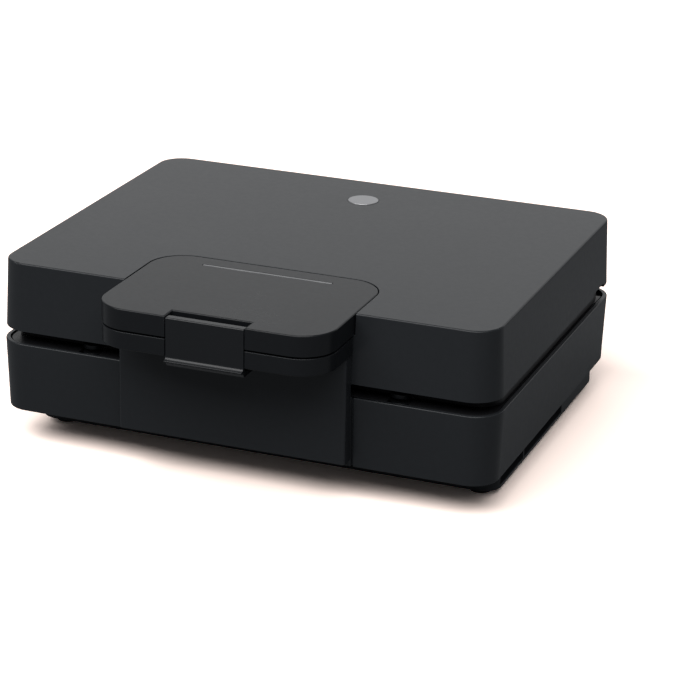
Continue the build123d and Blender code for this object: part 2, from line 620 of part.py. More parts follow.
# Bottom cover: a tub under the base with a channel for winding the cord along each side
with BuildPart() as bottom_cover:
    with BuildSketch(level(COVER_Z)):
        with Locations((0, (COVER_FRONT + COVER_REAR) / 2)):
            RectangleRounded(COVER_WIDTH, COVER_REAR - COVER_FRONT, COVER_CORNER)
    extrude(amount=COVER_HEIGHT)
    fillet(bottom_cover.faces().sort_by(Axis.Z)[0].edges(), COVER_EDGE)
    with BuildSketch(level(COVER_Z + COVER_WALL)):
        with Locations((0, (COVER_FRONT + COVER_REAR) / 2)):
            RectangleRounded(COVER_WIDTH - 2 * (CHANNEL_DEPTH + COVER_WALL),
                             COVER_REAR - COVER_FRONT - 2 * COVER_WALL, COVER_CORNER - COVER_WALL)
    extrude(amount=COVER_HEIGHT - COVER_WALL, mode=Mode.SUBTRACT)
    with BuildSketch(level(COVER_Z + CHANNEL_LIP)):
        for x in (-COVER_WIDTH / 2, COVER_WIDTH / 2):
            with Locations((x, (CHANNEL_FRONT + CHANNEL_REAR) / 2)):
                Rectangle(2 * CHANNEL_DEPTH, CHANNEL_REAR - CHANNEL_FRONT)
            with Locations((x, CHANNEL_RIB)):
                Rectangle(2 * CHANNEL_DEPTH, CHANNEL_RIB_THICKNESS, mode=Mode.SUBTRACT)
    extrude(amount=COVER_HEIGHT - CHANNEL_LIP - COVER_WALL, mode=Mode.SUBTRACT)
    with BuildSketch(level(COVER_Z)):
        with Locations(*COVER_SCREWS):
            Circle(BOSS)
    extrude(amount=COVER_HEIGHT)
    with BuildSketch(level(COVER_Z)):
        with Locations(*COVER_SCREWS):
            Circle(SCREW + SCREW_FIT)
    extrude(amount=COVER_HEIGHT, mode=Mode.SUBTRACT)
    with BuildSketch(level(COVER_Z)):
        with Locations(*COVER_SCREWS):
            Circle(HEAD_ROOM)
    extrude(amount=SCREW_HEAD_HEIGHT, mode=Mode.SUBTRACT)
    FEET = [(x, y) for x in (-COVER_WIDTH / 2 + FOOT_INSET, COVER_WIDTH / 2 - FOOT_INSET)
            for y in (COVER_FRONT + FOOT_INSET, COVER_REAR - FOOT_INSET)]
    with BuildSketch(level(COVER_Z)):
        with Locations(*FEET):
            Circle(FOOT_PEG + FIT)
    extrude(amount=COVER_WALL, mode=Mode.SUBTRACT)
save(bottom_cover, "bottom_cover")

# Rubber feet, each with a peg up into the bottom cover
for name, place in zip(("front_left_foot", "rear_left_foot", "front_right_foot", "rear_right_foot"), FEET):
    with BuildPart() as foot:
        with BuildSketch(level(0)):
            with Locations(place):
                Circle(FOOT_RADIUS)
        extrude(amount=FOOT_HEIGHT)
        fillet(foot.faces().sort_by(Axis.Z)[0].edges(), FOOT_EDGE)
        with BuildSketch(level(COVER_Z)):
            with Locations(place):
                Circle(FOOT_PEG)
        extrude(amount=COVER_WALL - FIT)
    save(foot, name)

# Lower plate carrier: a deck with a step for the plate, an outer skirt and a housing for each release tab
HOUSING_HALF = TAB_STEM_WIDTH / 2 + TAB_WALL
SPRING_END = TAB_REAR + SPRING_SPACE
HOUSING_REAR = SPRING_END + TAB_END_WALL
STEM_Z = FLANGE_Z - TAB_GAP - TAB_STEM
HOUSING_Z = STEM_Z - TAB_TRAVEL
NOSE_ROOM_REAR = TAB_STEP_REAR + TAB_TRAVEL + 2 * TAB_GAP
OPENING_HALF = (CELL_SPACING + CELL_WIDTH) / 2 + POCKET_MARGIN
OPENING_FRONT = PLATE_Y - CELL_DEPTH / 2 - POCKET_MARGIN_Y
OPENING_REAR = PLATE_Y + CELL_DEPTH / 2 + POCKET_MARGIN_Y

with BuildPart() as lower_bezel:
    with BuildSketch(level(DECK_TOP - SKIRT)):
        RectangleRounded(2 * BEZEL_HALF_WIDTH, 2 * BEZEL_HALF_DEPTH, BEZEL_CORNER)
    extrude(amount=SKIRT)
    with BuildSketch(level(DECK_TOP - SKIRT)):
        with Locations((0, (BEZEL_REAR - BEZEL_HALF_DEPTH) / 2)):
            RectangleRounded(2 * (BEZEL_HALF_WIDTH - SKIRT_WALL),
                             BEZEL_REAR + BEZEL_HALF_DEPTH - 2 * SKIRT_WALL,
                             BEZEL_CORNER - SKIRT_WALL)
    extrude(amount=SKIRT - DECK, mode=Mode.SUBTRACT)
    with BuildSketch(level(DECK_TOP - SKIRT + SKIRT_WALL)):
        with Locations((0, BEZEL_REAR + BEZEL_HALF_DEPTH)):
            Rectangle(3 * BEZEL_HALF_WIDTH, 2 * BEZEL_HALF_DEPTH)
    extrude(amount=SKIRT, mode=Mode.SUBTRACT)
    with BuildSketch(level(HOUSING_Z)):
        with Locations((-TAB_X, 0), (TAB_X, 0)):
            with Locations((0, (HOUSING_REAR - BEZEL_HALF_DEPTH + SKIRT_WALL) / 2)):
                Rectangle(2 * HOUSING_HALF, HOUSING_REAR + BEZEL_HALF_DEPTH - SKIRT_WALL)
    extrude(amount=FLANGE_Z - HOUSING_Z)
    with BuildSketch(level(FLANGE_Z)):
        with Locations((0, PLATE_Y)):
            RectangleRounded(2 * (PLATE_SIDE + PLATE_GAP), PLATE_REAR - PLATE_FRONT + 2 * PLATE_GAP,
                             PLATE_CORNER + PLATE_GAP)
    extrude(amount=FLANGE, mode=Mode.SUBTRACT)
    with BuildSketch(level(DECK_Z)):
        with Locations((0, (OPENING_FRONT + OPENING_REAR) / 2)):
            RectangleRounded(2 * OPENING_HALF, OPENING_REAR - OPENING_FRONT, PLATE_CORNER)
    extrude(amount=DECK, mode=Mode.SUBTRACT)
    with BuildSketch(level(STEM_Z - 4 * FIT)):
        with Locations((-TAB_X, 0), (TAB_X, 0)):
            with Locations((0, (SPRING_END - BEZEL_HALF_DEPTH) / 2)):
                Rectangle(TAB_STEM_WIDTH + 8 * FIT, SPRING_END + BEZEL_HALF_DEPTH)
    extrude(amount=FLANGE_Z - STEM_Z + 4 * FIT, mode=Mode.SUBTRACT)
    with BuildSketch(level(STEM_Z - 4 * FIT)):
        with Locations((-TAB_X, 0), (TAB_X, 0)):
            with Locations((0, (NOSE_ROOM_REAR - BEZEL_HALF_DEPTH) / 2)):
                Rectangle(TAB_WIDTH + 2 * TAB_SIDE_GAP, NOSE_ROOM_REAR + BEZEL_HALF_DEPTH)
    extrude(amount=DECK_TOP - STEM_Z + 4 * FIT, mode=Mode.SUBTRACT)
    with BuildSketch(level(HOUSING_Z)):
        with Locations((-TAB_X, 0), (TAB_X, 0)):
            with Locations((0, LUG_Y + LUG_THICKNESS)):
                Rectangle(LUG_WIDTH + 4 * TAB_SIDE_GAP, 2 * (BARB + LUG_THICKNESS))
    extrude(amount=FLANGE_Z - HOUSING_Z, mode=Mode.SUBTRACT)
    with BuildSketch(level(DECK_Z)):
        with Locations(*POSTS):
            Circle(SCREW + SCREW_FIT)
    extrude(amount=FLANGE_Z - DECK_Z - SCREW_FIT, mode=Mode.SUBTRACT)
save(lower_bezel, "lower_bezel")

# Upper plate carrier: the lower one turned over, with the screws let in from its face. In the gap it is a
# block that stops behind the tabs' noses and has its own front wall and ceiling
UPPER_FLANGE_TOP = 2 * PARTING_Z - FLANGE_Z
UPPER_DECK_TOP = 2 * PARTING_Z - DECK_Z

with BuildPart() as upper_bezel:
    mirror(lower_bezel.part, about=Plane.XY.offset(PARTING_Z))
    with BuildSketch(level(PARTING_Z)):
        Rectangle(4 * BEZEL_HALF_WIDTH, 4 * BEZEL_HALF_DEPTH)
        with Locations((0, (BLOCK_FRONT + BEZEL_REAR) / 2)):
            RectangleRounded(2 * BEZEL_HALF_WIDTH, BEZEL_REAR - BLOCK_FRONT, BLOCK_CORNER, mode=Mode.SUBTRACT)
    extrude(amount=LID_Z + BLOCK_CEILING - PARTING_Z, mode=Mode.SUBTRACT)
    with BuildSketch(level(LID_Z)):
        RectangleRounded(2 * BEZEL_HALF_WIDTH, 2 * BEZEL_HALF_DEPTH, BEZEL_CORNER)
        with Locations((0, (BLOCK_FRONT + BEZEL_REAR) / 2)):
            RectangleRounded(2 * (BEZEL_HALF_WIDTH - SKIRT_WALL), BEZEL_REAR - BLOCK_FRONT - 2 * SKIRT_WALL,
                             BLOCK_CORNER - SKIRT_WALL, mode=Mode.SUBTRACT)
        with Locations((0, BEZEL_REAR + BEZEL_HALF_DEPTH)):
            Rectangle(3 * BEZEL_HALF_WIDTH, 2 * BEZEL_HALF_DEPTH, mode=Mode.SUBTRACT)
    extrude(amount=BLOCK_CEILING)
    with BuildSketch(level(UPPER_DECK_TOP)):
        with Locations((0, (BLOCK_FRONT + BEZEL_REAR) / 2)):
            RectangleRounded(2 * BEZEL_HALF_WIDTH, BEZEL_REAR - BLOCK_FRONT, BLOCK_CORNER)
            RectangleRounded(2 * (BEZEL_HALF_WIDTH - SKIRT_WALL), BEZEL_REAR - BLOCK_FRONT - 2 * SKIRT_WALL,
                             BLOCK_CORNER - SKIRT_WALL, mode=Mode.SUBTRACT)
    extrude(amount=LID_Z - UPPER_DECK_TOP)
    with BuildSketch(level(2 * PARTING_Z - STEM_Z - TAB_STEM)):
        with Locations((-TAB_X, BLOCK_FRONT), (TAB_X, BLOCK_FRONT)):
            Rectangle(TAB_WIDTH + 2 * TAB_SIDE_GAP, 2 * (NOSE_ROOM_REAR - BLOCK_FRONT))
    extrude(amount=TAB_STEM + 4 * FIT, mode=Mode.SUBTRACT)
    with BuildSketch(level(UPPER_FLANGE_TOP)):
        with Locations(*POSTS):
            Circle(SCREW + SCREW_FIT)
    extrude(amount=UPPER_DECK_TOP - UPPER_FLANGE_TOP, mode=Mode.SUBTRACT)
    with BuildSketch(level(UPPER_FLANGE_TOP)):
        with Locations(*POSTS):
            Circle(HEAD_ROOM)
    extrude(amount=FLAT_HEAD, mode=Mode.SUBTRACT)
save(upper_bezel, "upper_bezel")


def pocket_outline(across, along, inset):
    """One triangular pocket, its square corner turned by the signs across and along, drawn in by inset."""
    with BuildSketch(mode=Mode.PRIVATE) as triangle:
        with BuildLine():
            Polyline((-across * CELL_WIDTH / 2, -along * CELL_DEPTH / 2),
                     (across * CELL_WIDTH / 2, -along * CELL_DEPTH / 2),
                     (-across * CELL_WIDTH / 2, along * CELL_DEPTH / 2), close=True)
        make_face()
        offset(amount=-inset, kind=Kind.INTERSECTION)
        fillet(triangle.vertices(), POCKET_CORNER + RIDGE - inset)
    return triangle.sketch


# The sides of the plate's four pockets: cells left and right, each cut by a diagonal ridge
POCKETS = [(cell, turn) for cell in (-1, 1) for turn in (-1, 1)]

# Lower cooking plate, a casting: a flat flange with two drafted cells, each cut into two triangular
# pockets by a solid diagonal ridge, and two lugs for the release tabs
BARB_Z = STEM_Z - HOOK_CLEARANCE - BARB_HEIGHT
POCKET_SLOPE = POCKET_DEPTH * tan(radians(POCKET_TAPER))

with BuildPart() as lower_plate:
    with BuildSketch(level(FLANGE_Z)):
        with Locations((0, PLATE_Y)):
            RectangleRounded(2 * PLATE_SIDE, PLATE_REAR - PLATE_FRONT, PLATE_CORNER)
    extrude(amount=FLANGE)
    for cell in (-1, 1):
        for z, inset in ((FLANGE_Z, RIDGE - PLATE_WALL), (POCKET_BACK, RIDGE - PLATE_WALL + POCKET_SLOPE)):
            with BuildSketch(level(z)):
                with Locations((cell * CELL_SPACING / 2, PLATE_Y)):
                    RectangleRounded(CELL_WIDTH - 2 * inset, CELL_DEPTH - 2 * inset,
                                     POCKET_CORNER + RIDGE - inset)
        loft()
    for cell, turn in POCKETS:
        for z, inset in ((DECK_TOP, RIDGE), (DECK_TOP - POCKET_DEPTH, RIDGE + POCKET_SLOPE)):
            with BuildSketch(level(z)):
                with Locations((cell * CELL_SPACING / 2, PLATE_Y)):
                    add(pocket_outline(cell * turn, turn, inset))
        loft(mode=Mode.SUBTRACT)
    for x in (-TAB_X, TAB_X):
        with BuildSketch(side(x)):
            with BuildLine():
                Polyline((LUG_Y, FLANGE_Z),
                         (LUG_Y, BARB_Z),
                         (LUG_Y + LUG_THICKNESS + BARB / 2, BARB_Z),
                         (LUG_Y + LUG_THICKNESS + BARB, BARB_Z + BARB_HEIGHT),
                         (LUG_Y + LUG_THICKNESS, BARB_Z + BARB_HEIGHT),
                         (LUG_Y + LUG_THICKNESS, FLANGE_Z), close=True)
            make_face()
        extrude(amount=LUG_WIDTH / 2, both=True)
save(lower_plate, "lower_plate")

with BuildPart() as upper_plate:
    mirror(lower_plate.part, about=Plane.XY.offset(PARTING_Z))
save(upper_plate, "upper_plate")

# Release tabs: a rounded nose in the gap, a step, and a stem with a window for the plate's lug
NOSE_TOP = DECK_TOP - TAB_NOSE_DROP
STEP_FRONT = TAB_FRONT + TAB_WIDTH / 2 - TAB_END_WALL
WINDOW_FRONT = LUG_Y - TAB_TRAVEL - TAB_GAP
WINDOW_REAR = LUG_Y + LUG_THICKNESS + HOOK_CLEARANCE

for name, x in (("left_release_tab", -TAB_X), ("right_release_tab", TAB_X)):
    with BuildPart() as lower_tab:
        with BuildSketch(side(x)):
            with BuildLine():
                Polyline((TAB_FRONT, NOSE_TOP),
                         (TAB_STEP_REAR, NOSE_TOP),
                         (TAB_STEP_REAR, STEM_Z + TAB_STEM),
                         (TAB_REAR, STEM_Z + TAB_STEM),
                         (TAB_REAR, STEM_Z),
                         (STEP_FRONT, STEM_Z),
                         (STEP_FRONT, NOSE_TOP - TAB_NOSE),
                         (TAB_FRONT, NOSE_TOP - TAB_NOSE), close=True)
            make_face()
        extrude(amount=TAB_WIDTH / 2, both=True)
        with BuildSketch(level(STEM_Z)) as outline:
            with Locations((x, (TAB_FRONT + TAB_STEP_REAR) / 2)):
                Rectangle(TAB_WIDTH, TAB_STEP_REAR - TAB_FRONT)
            fillet(outline.vertices().group_by(Axis.Y)[0], TAB_WIDTH / 2 - TAB_SIDE_GAP)
            with Locations((x, (TAB_STEP_REAR + TAB_REAR) / 2)):
                Rectangle(TAB_STEM_WIDTH, TAB_REAR - TAB_STEP_REAR + TAB_GAP)
            with Locations((x, (WINDOW_FRONT + WINDOW_REAR) / 2)):
                Rectangle(LUG_WIDTH + 2 * TAB_SIDE_GAP, WINDOW_REAR - WINDOW_FRONT, mode=Mode.SUBTRACT)
        extrude(amount=NOSE_TOP - STEM_Z, mode=Mode.INTERSECT)
    save(lower_tab, f"lower_{name}")
    with BuildPart() as upper_tab:
        mirror(lower_tab.part, about=Plane.XY.offset(PARTING_Z))
    save(upper_tab, f"upper_{name}")

# Leaf springs behind the tabs
SPRING_BACK = SPRING_END - SPRING_STRIP / 2
SPRING_TIP = TAB_REAR + SPRING_STRIP / 2 + 2 * FIT
SPRING_HALF = TAB_STEM_WIDTH / 2 - SPRING_MARGIN

for name, x in (("left_tab_spring", -TAB_X), ("right_tab_spring", TAB_X)):
    with BuildPart() as lower_spring:
        with BuildSketch(level(STEM_Z)):
            with BuildLine() as strip:
                Polyline((x - SPRING_HALF, SPRING_BACK - FIT),
                         (x + SPRING_HALF, SPRING_BACK - FIT),
                         (x - SPRING_HALF, SPRING_TIP))
            trace(line_width=SPRING_STRIP)
        extrude(amount=TAB_STEM - HOOK_CLEARANCE)
    save(lower_spring, f"lower_{name}")
    with BuildPart() as upper_spring:
        mirror(lower_spring.part, about=Plane.XY.offset(PARTING_Z))
    save(upper_spring, f"upper_{name}")

# Heating elements: one bent tube behind each plate, its ends through the reflector's rear wall
HEATER_Z = POCKET_BACK - HEATER_RADIUS
REFLECTOR_HALF = (CELL_SPACING + CELL_WIDTH) / 2 + REFLECTOR_GAP + REFLECTOR_WALL
REFLECTOR_DEPTH = CELL_DEPTH + 2 * (REFLECTOR_GAP + REFLECTOR_WALL)
REFLECTOR_Z = HEATER_Z - HEATER_RADIUS - REFLECTOR_WALL
HEATER_END = PLATE_Y + REFLECTOR_DEPTH / 2 + HEATER_LEG / 2
HEATER_X = (CELL_SPACING + CELL_WIDTH) / 2 - HEATER_SIDE_INSET
HEATER_FRONT = PLATE_Y - CELL_DEPTH / 2 + HEATER_FRONT_INSET
HEATER_REAR = PLATE_Y + CELL_DEPTH / 2 - HEATER_REAR_INSET

with BuildPart() as lower_heater:
    with BuildLine(level(HEATER_Z)) as route:
        FilletPolyline((HEATER_LEG, HEATER_END),
                       (HEATER_LEG, HEATER_REAR),
                       (HEATER_X, HEATER_REAR),
                       (HEATER_X, HEATER_FRONT),
                       (-HEATER_X, HEATER_FRONT),
                       (-HEATER_X, HEATER_REAR),
                       (-HEATER_LEG, HEATER_REAR),
                       (-HEATER_LEG, HEATER_END), radius=HEATER_BEND)
    with BuildSketch(Plane(origin=route.line @ 0, z_dir=route.line % 0)):
        Circle(HEATER_RADIUS)
    sweep(path=route.line)
save(lower_heater, "lower_heater")

with BuildPart() as upper_heater:
    mirror(lower_heater.part, about=Plane.XY.offset(PARTING_Z))
save(upper_heater, "upper_heater")

# Reflectors: sheet trays behind the heaters, with side flanges against the plate carriers
with BuildPart() as lower_reflector:
    with BuildSketch(level(REFLECTOR_Z)):
        with Locations((0, PLATE_Y)):
            RectangleRounded(2 * REFLECTOR_HALF, REFLECTOR_DEPTH, PLATE_CORNER)
    extrude(amount=DECK_Z - REFLECTOR_Z)
    with BuildSketch(level(DECK_Z - REFLECTOR_WALL)):
        with Locations((0, PLATE_Y)):
            Rectangle(2 * (REFLECTOR_HALF + REFLECTOR_FLANGE), CELL_DEPTH / 2)
    extrude(amount=REFLECTOR_WALL)
    with BuildSketch(level(REFLECTOR_Z + REFLECTOR_WALL)):
        with Locations((0, PLATE_Y)):
            RectangleRounded(2 * (REFLECTOR_HALF - REFLECTOR_WALL), REFLECTOR_DEPTH - 2 * REFLECTOR_WALL,
                             PLATE_CORNER - REFLECTOR_WALL)
    extrude(amount=DECK_Z - REFLECTOR_Z, mode=Mode.SUBTRACT)
    with BuildSketch(front(PLATE_Y + CELL_DEPTH / 2)):
        with Locations((-HEATER_LEG, HEATER_Z), (HEATER_LEG, HEATER_Z)):
            Circle(HEATER_RADIUS + HOOK_CLEARANCE)
    extrude(amount=HEATER_LEG, mode=Mode.SUBTRACT)
save(lower_reflector, "lower_reflector")

with BuildPart() as upper_reflector:
    mirror(lower_reflector.part, about=Plane.XY.offset(PARTING_Z))
save(upper_reflector, "upper_reflector")

# Thermostat under the lower reflector, thermal fuse on the upper one, terminal block and cord inlet
with BuildPart() as thermostat:
    with BuildSketch(level(REFLECTOR_Z - THERMOSTAT_HEIGHT)):
        with Locations((THERMOSTAT_X, PLATE_Y)):
            Circle(THERMOSTAT_RADIUS)
    extrude(amount=THERMOSTAT_HEIGHT)
save(thermostat, "thermostat")

with BuildPart() as thermal_fuse:
    with BuildSketch(side(FUSE_X)):
        with Locations((PLATE_Y, 2 * PARTING_Z - REFLECTOR_Z + FUSE_RADIUS)):
            Circle(FUSE_RADIUS)
    extrude(amount=FUSE_LENGTH / 2, both=True)
save(thermal_fuse, "thermal_fuse")

with BuildPart() as terminal_block:
    with BuildSketch(level(COVER_Z + COVER_WALL)):
        with Locations((TERMINAL_X, TERMINAL_Y)):
            Rectangle(TERMINAL_WIDTH, TERMINAL_DEPTH)
    extrude(amount=COVER_HEIGHT - COVER_WALL)
save(terminal_block, "terminal_block")

INLET_OUT = base_front(INLET_Z + INLET_RADIUS + INLET_FLANGE) + FIT

with BuildPart() as cord_inlet:
    with BuildSketch(front(base_front(INLET_Z) - 2 * WALL)):
        with Locations((-INLET_X, INLET_Z)):
            Circle(INLET_RADIUS)
    extrude(amount=INLET_OUT + INLET_REACH - base_front(INLET_Z) + 2 * WALL)
    with BuildSketch(front(INLET_OUT)):
        with Locations((-INLET_X, INLET_Z)):
            Circle(INLET_RADIUS + INLET_FLANGE)
    extrude(amount=INLET_FLANGE)
    with BuildSketch(front(0)):
        with Locations((-INLET_X, INLET_Z)):
            Circle(INLET_BORE)
    extrude(amount=2 * RIM_HALF_DEPTH, mode=Mode.SUBTRACT)
save(cord_inlet, "cord_inlet")


def screws(places, plane, head, head_height, shank, length):
    """A group of like screws: heads rising from the plane, shanks beyond them."""
    with BuildPart() as group:
        with BuildSketch(plane):
            with Locations(*places):
                Circle(head)
        extrude(amount=head_height)
        with BuildSketch(plane.offset(head_height)):
            with Locations(*places):
                Circle(shank)
        extrude(amount=length)
    return group


COLUMN_HEAD = WALL - base_front(COLUMN_SCREW_Z - SCREW_HEAD) + SCREW_HEAD_HEIGHT + FIT
FORWARD = Plane((0, BODY_Y + COLUMN_HEAD, 0), x_dir=(1, 0, 0), z_dir=(0, -1, 0))
TONGUE_FORWARD = Plane((0, BODY_Y + COLUMN_BACK, 0), x_dir=(1, 0, 0), z_dir=(0, -1, 0))

base_screws = screws(POSTS, level(BASE_Z), SCREW_HEAD, SCREW_HEAD_HEIGHT, SCREW,
                     FLANGE_Z - BASE_Z - SCREW_HEAD_HEIGHT - 2 * SCREW_FIT)
save(base_screws, "base_screws")
bezel_screws = screws(POSTS, level(UPPER_FLANGE_TOP), SCREW_HEAD, FLAT_HEAD, SCREW, DECK + SKIRT)
save(bezel_screws, "upper_bezel_screws")
handle_screws = screws(HANDLE_SCREWS, level(HANDLE_Z - WALL - SCREW_HEAD_HEIGHT), SCREW_HEAD,
                       SCREW_HEAD_HEIGHT, SCREW, WALL + UPPER_HANDLE_HEIGHT - LID_TOP - TAB_GAP)
save(handle_screws, "upper_handle_screws")
cover_screws = screws(COVER_SCREWS, level(COVER_Z), SCREW_HEAD, SCREW_HEAD_HEIGHT, SCREW,
                      COVER_HEIGHT - SCREW_HEAD_HEIGHT + 2 * BASE_FLOOR)
save(cover_screws, "bottom_cover_screws")
tongue_screws = screws(TONGUE_SCREWS, TONGUE_FORWARD, SMALL_HEAD, SMALL_HEAD_HEIGHT, SMALL_SCREW,
                       TONGUE_BACK - TONGUE_FRONT + COLUMN_WALL - SMALL_HEAD_HEIGHT)
save(tongue_screws, "lower_handle_screws")
column_screws = screws(COLUMN_SCREWS, FORWARD, SCREW_HEAD, SCREW_HEAD_HEIGHT, SCREW,
                       COLUMN_HEAD - SCREW_HEAD_HEIGHT - COLUMN_FRONT - COLUMN_WALL - TAB_GAP)
save(column_screws, "front_cover_screws")
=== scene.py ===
"""Sandwich maker: finishes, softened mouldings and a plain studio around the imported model."""

import json
from math import cos, pi, radians, sin

import bmesh
import bpy
from bpy.props import FloatProperty, FloatVectorProperty, IntProperty, PointerProperty
from mathutils import Matrix, Vector

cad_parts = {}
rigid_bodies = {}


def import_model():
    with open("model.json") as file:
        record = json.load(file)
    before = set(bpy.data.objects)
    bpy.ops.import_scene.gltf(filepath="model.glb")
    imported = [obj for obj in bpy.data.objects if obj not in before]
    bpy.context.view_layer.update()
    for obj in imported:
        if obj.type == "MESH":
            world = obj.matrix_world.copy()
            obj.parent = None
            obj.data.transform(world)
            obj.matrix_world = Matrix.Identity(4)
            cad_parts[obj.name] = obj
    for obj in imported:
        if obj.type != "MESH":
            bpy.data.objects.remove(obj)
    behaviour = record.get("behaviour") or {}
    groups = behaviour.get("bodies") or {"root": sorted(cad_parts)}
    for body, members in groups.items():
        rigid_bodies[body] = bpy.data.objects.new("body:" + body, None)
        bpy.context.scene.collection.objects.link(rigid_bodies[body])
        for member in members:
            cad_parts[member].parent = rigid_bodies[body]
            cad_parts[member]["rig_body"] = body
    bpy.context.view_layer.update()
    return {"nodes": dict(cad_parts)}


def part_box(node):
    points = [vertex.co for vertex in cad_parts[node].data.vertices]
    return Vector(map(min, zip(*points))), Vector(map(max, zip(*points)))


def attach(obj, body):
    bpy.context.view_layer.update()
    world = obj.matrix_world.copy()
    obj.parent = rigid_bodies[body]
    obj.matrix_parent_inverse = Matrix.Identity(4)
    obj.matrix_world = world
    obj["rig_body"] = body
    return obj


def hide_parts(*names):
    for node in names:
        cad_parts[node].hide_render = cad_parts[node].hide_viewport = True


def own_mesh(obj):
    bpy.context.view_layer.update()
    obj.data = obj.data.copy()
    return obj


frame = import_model()

bl_info = {
    "name": "Sandwich maker",
    "version": (1, 0, 0),
    "blender": (4, 5, 0),
    "location": "View3D > Sidebar > Sandwich maker",
    "description": "Dresses the packed sandwich maker and sets up its studio",
    "category": "Object",
}

MM = 0.001
MERGE_DISTANCE = 1e-6
FLAT_ANGLE = radians(0.6)
SHARP_ANGLE = radians(32.0)
BEVEL_ANGLE = radians(38.0)
TURN_STEPS = 48
LENS_EDGE = 0.15 * MM
BADGE_EDGE = 0.1 * MM

# The camera that the photograph's straight edges give, in metres, degrees and millimetres
CAMERA_PLACE = (0.5062, -1.2662, 0.5599)
CAMERA_YAW = 20.9207
CAMERA_PITCH = 20.4527
CAMERA_ROLL = 1.1515
SENSOR_WIDTH = 36.0
FLOOR_HALF = 6.0


class MouldingSettings(bpy.types.PropertyGroup):
    """Sizes and colours of the moulded casings."""

    housing_color: FloatVectorProperty(
        name="Housing colour", description="Colour of the lid, base and covers",
        subtype="COLOR", size=3, min=0.0, max=1.0, default=(0.0122, 0.0134, 0.0151))
    handle_color: FloatVectorProperty(
        name="Handle colour", description="Colour of both handle halves",
        subtype="COLOR", size=3, min=0.0, max=1.0, default=(0.0052, 0.0058, 0.0068))
    latch_color: FloatVectorProperty(
        name="Latch colour", description="Colour of the latch",
        subtype="COLOR", size=3, min=0.0, max=1.0, default=(0.0055, 0.0061, 0.0071))
    # The carriers' own near-black, set darker than the housing as painted shade for the dark gap between lid
    # and base
    carrier_color_and_gap_shade: FloatVectorProperty(
        name="Carrier colour and gap shade", description="Colour of the plates' carriers, darkened as painted shade for the gap",
        subtype="COLOR", size=3, min=0.0, max=1.0, default=(0.008, 0.008, 0.009))
    edge_radius: FloatProperty(
        name="Edge radius", description="Rounding of the moulded edges",
        subtype="DISTANCE", unit="LENGTH", min=0.0, default=0.25 * MM)
    handle_edge: FloatProperty(
        name="Handle edge", description="Rounding of the handles' sharp edges",
        subtype="DISTANCE", unit="LENGTH", min=0.0, default=0.3 * MM)
    slot_width: FloatProperty(
        name="Slot width", description="Width of the slots beside the column",
        subtype="DISTANCE", unit="LENGTH", min=0.0, default=1.4 * MM)
    slot_depth: FloatProperty(
        name="Slot depth", description="Depth of the slots beside the column",
        subtype="DISTANCE", unit="LENGTH", min=0.0, default=1.7 * MM)
    slot_lean: FloatProperty(
        name="Slot lean", description="How far the slots' foot lies behind their top",
        subtype="DISTANCE", unit="LENGTH", min=0.0, default=1.85 * MM)
    lip_fillet: FloatProperty(
        name="Lip fillet", description="Radius that the latch's face sweeps out with",
        subtype="DISTANCE", unit="LENGTH", min=0.0, default=2.2 * MM)
    latch_brow: FloatProperty(
        name="Latch brow", description="Radius of the latch's upper front edge",
        subtype="DISTANCE", unit="LENGTH", min=0.0, default=0.8 * MM)
    edge_steps: IntProperty(
        name="Edge steps", description="Segments in each rounded edge",
        min=1, max=6, default=3)
    grain_depth: FloatProperty(
        name="Grain depth", description="Strength of the fine mould texture",
        min=0.0, max=1.0, default=0.12)


class CookingSettings(bpy.types.PropertyGroup):
    """Sizes and colours of the plates and what heats them."""

    coating_color: FloatVectorProperty(
        name="Coating colour", description="Colour of the non-stick coating",
        subtype="COLOR", size=3, min=0.0, max=1.0, default=(0.03, 0.03, 0.032))
    plate_edge: FloatProperty(
        name="Plate edge", description="Rounding of the plates' edges",
        subtype="DISTANCE", unit="LENGTH", min=0.0, default=0.5 * MM)
    heater_radius: FloatProperty(
        name="Heater radius", description="Radius of the heater's sheath",
        subtype="DISTANCE", unit="LENGTH", min=0.0, default=3.3 * MM)
    heater_bend: FloatProperty(
        name="Heater bend", description="Bend radius of the heater tube",
        subtype="DISTANCE", unit="LENGTH", min=0.0, default=15.0 * MM)


class FittingSettings(bpy.types.PropertyGroup):
    """Sizes and colours of the small fittings."""

    steel_color: FloatVectorProperty(
        name="Steel colour", description="Colour of the zinc-plated steel",
        subtype="COLOR", size=3, min=0.0, max=1.0, default=(0.55, 0.55, 0.56))
    badge_color: FloatVectorProperty(
        name="Badge colour", description="Colour of the bare badge",
        subtype="COLOR", size=3, min=0.0, max=1.0, default=(0.36, 0.36, 0.37))
    rubber_color: FloatVectorProperty(
        name="Rubber colour", description="Colour of the feet and the cord's bush",
        subtype="COLOR", size=3, min=0.0, max=1.0, default=(0.015, 0.015, 0.015))
    recess_width: FloatProperty(
        name="Recess width", description="Width of a screw's cross recess",
        subtype="DISTANCE", unit="LENGTH", min=0.0, default=0.7 * MM)
    tread_rings: IntProperty(
        name="Tread rings", description="Rings in the sole of each foot",
        min=1, max=6, default=3)


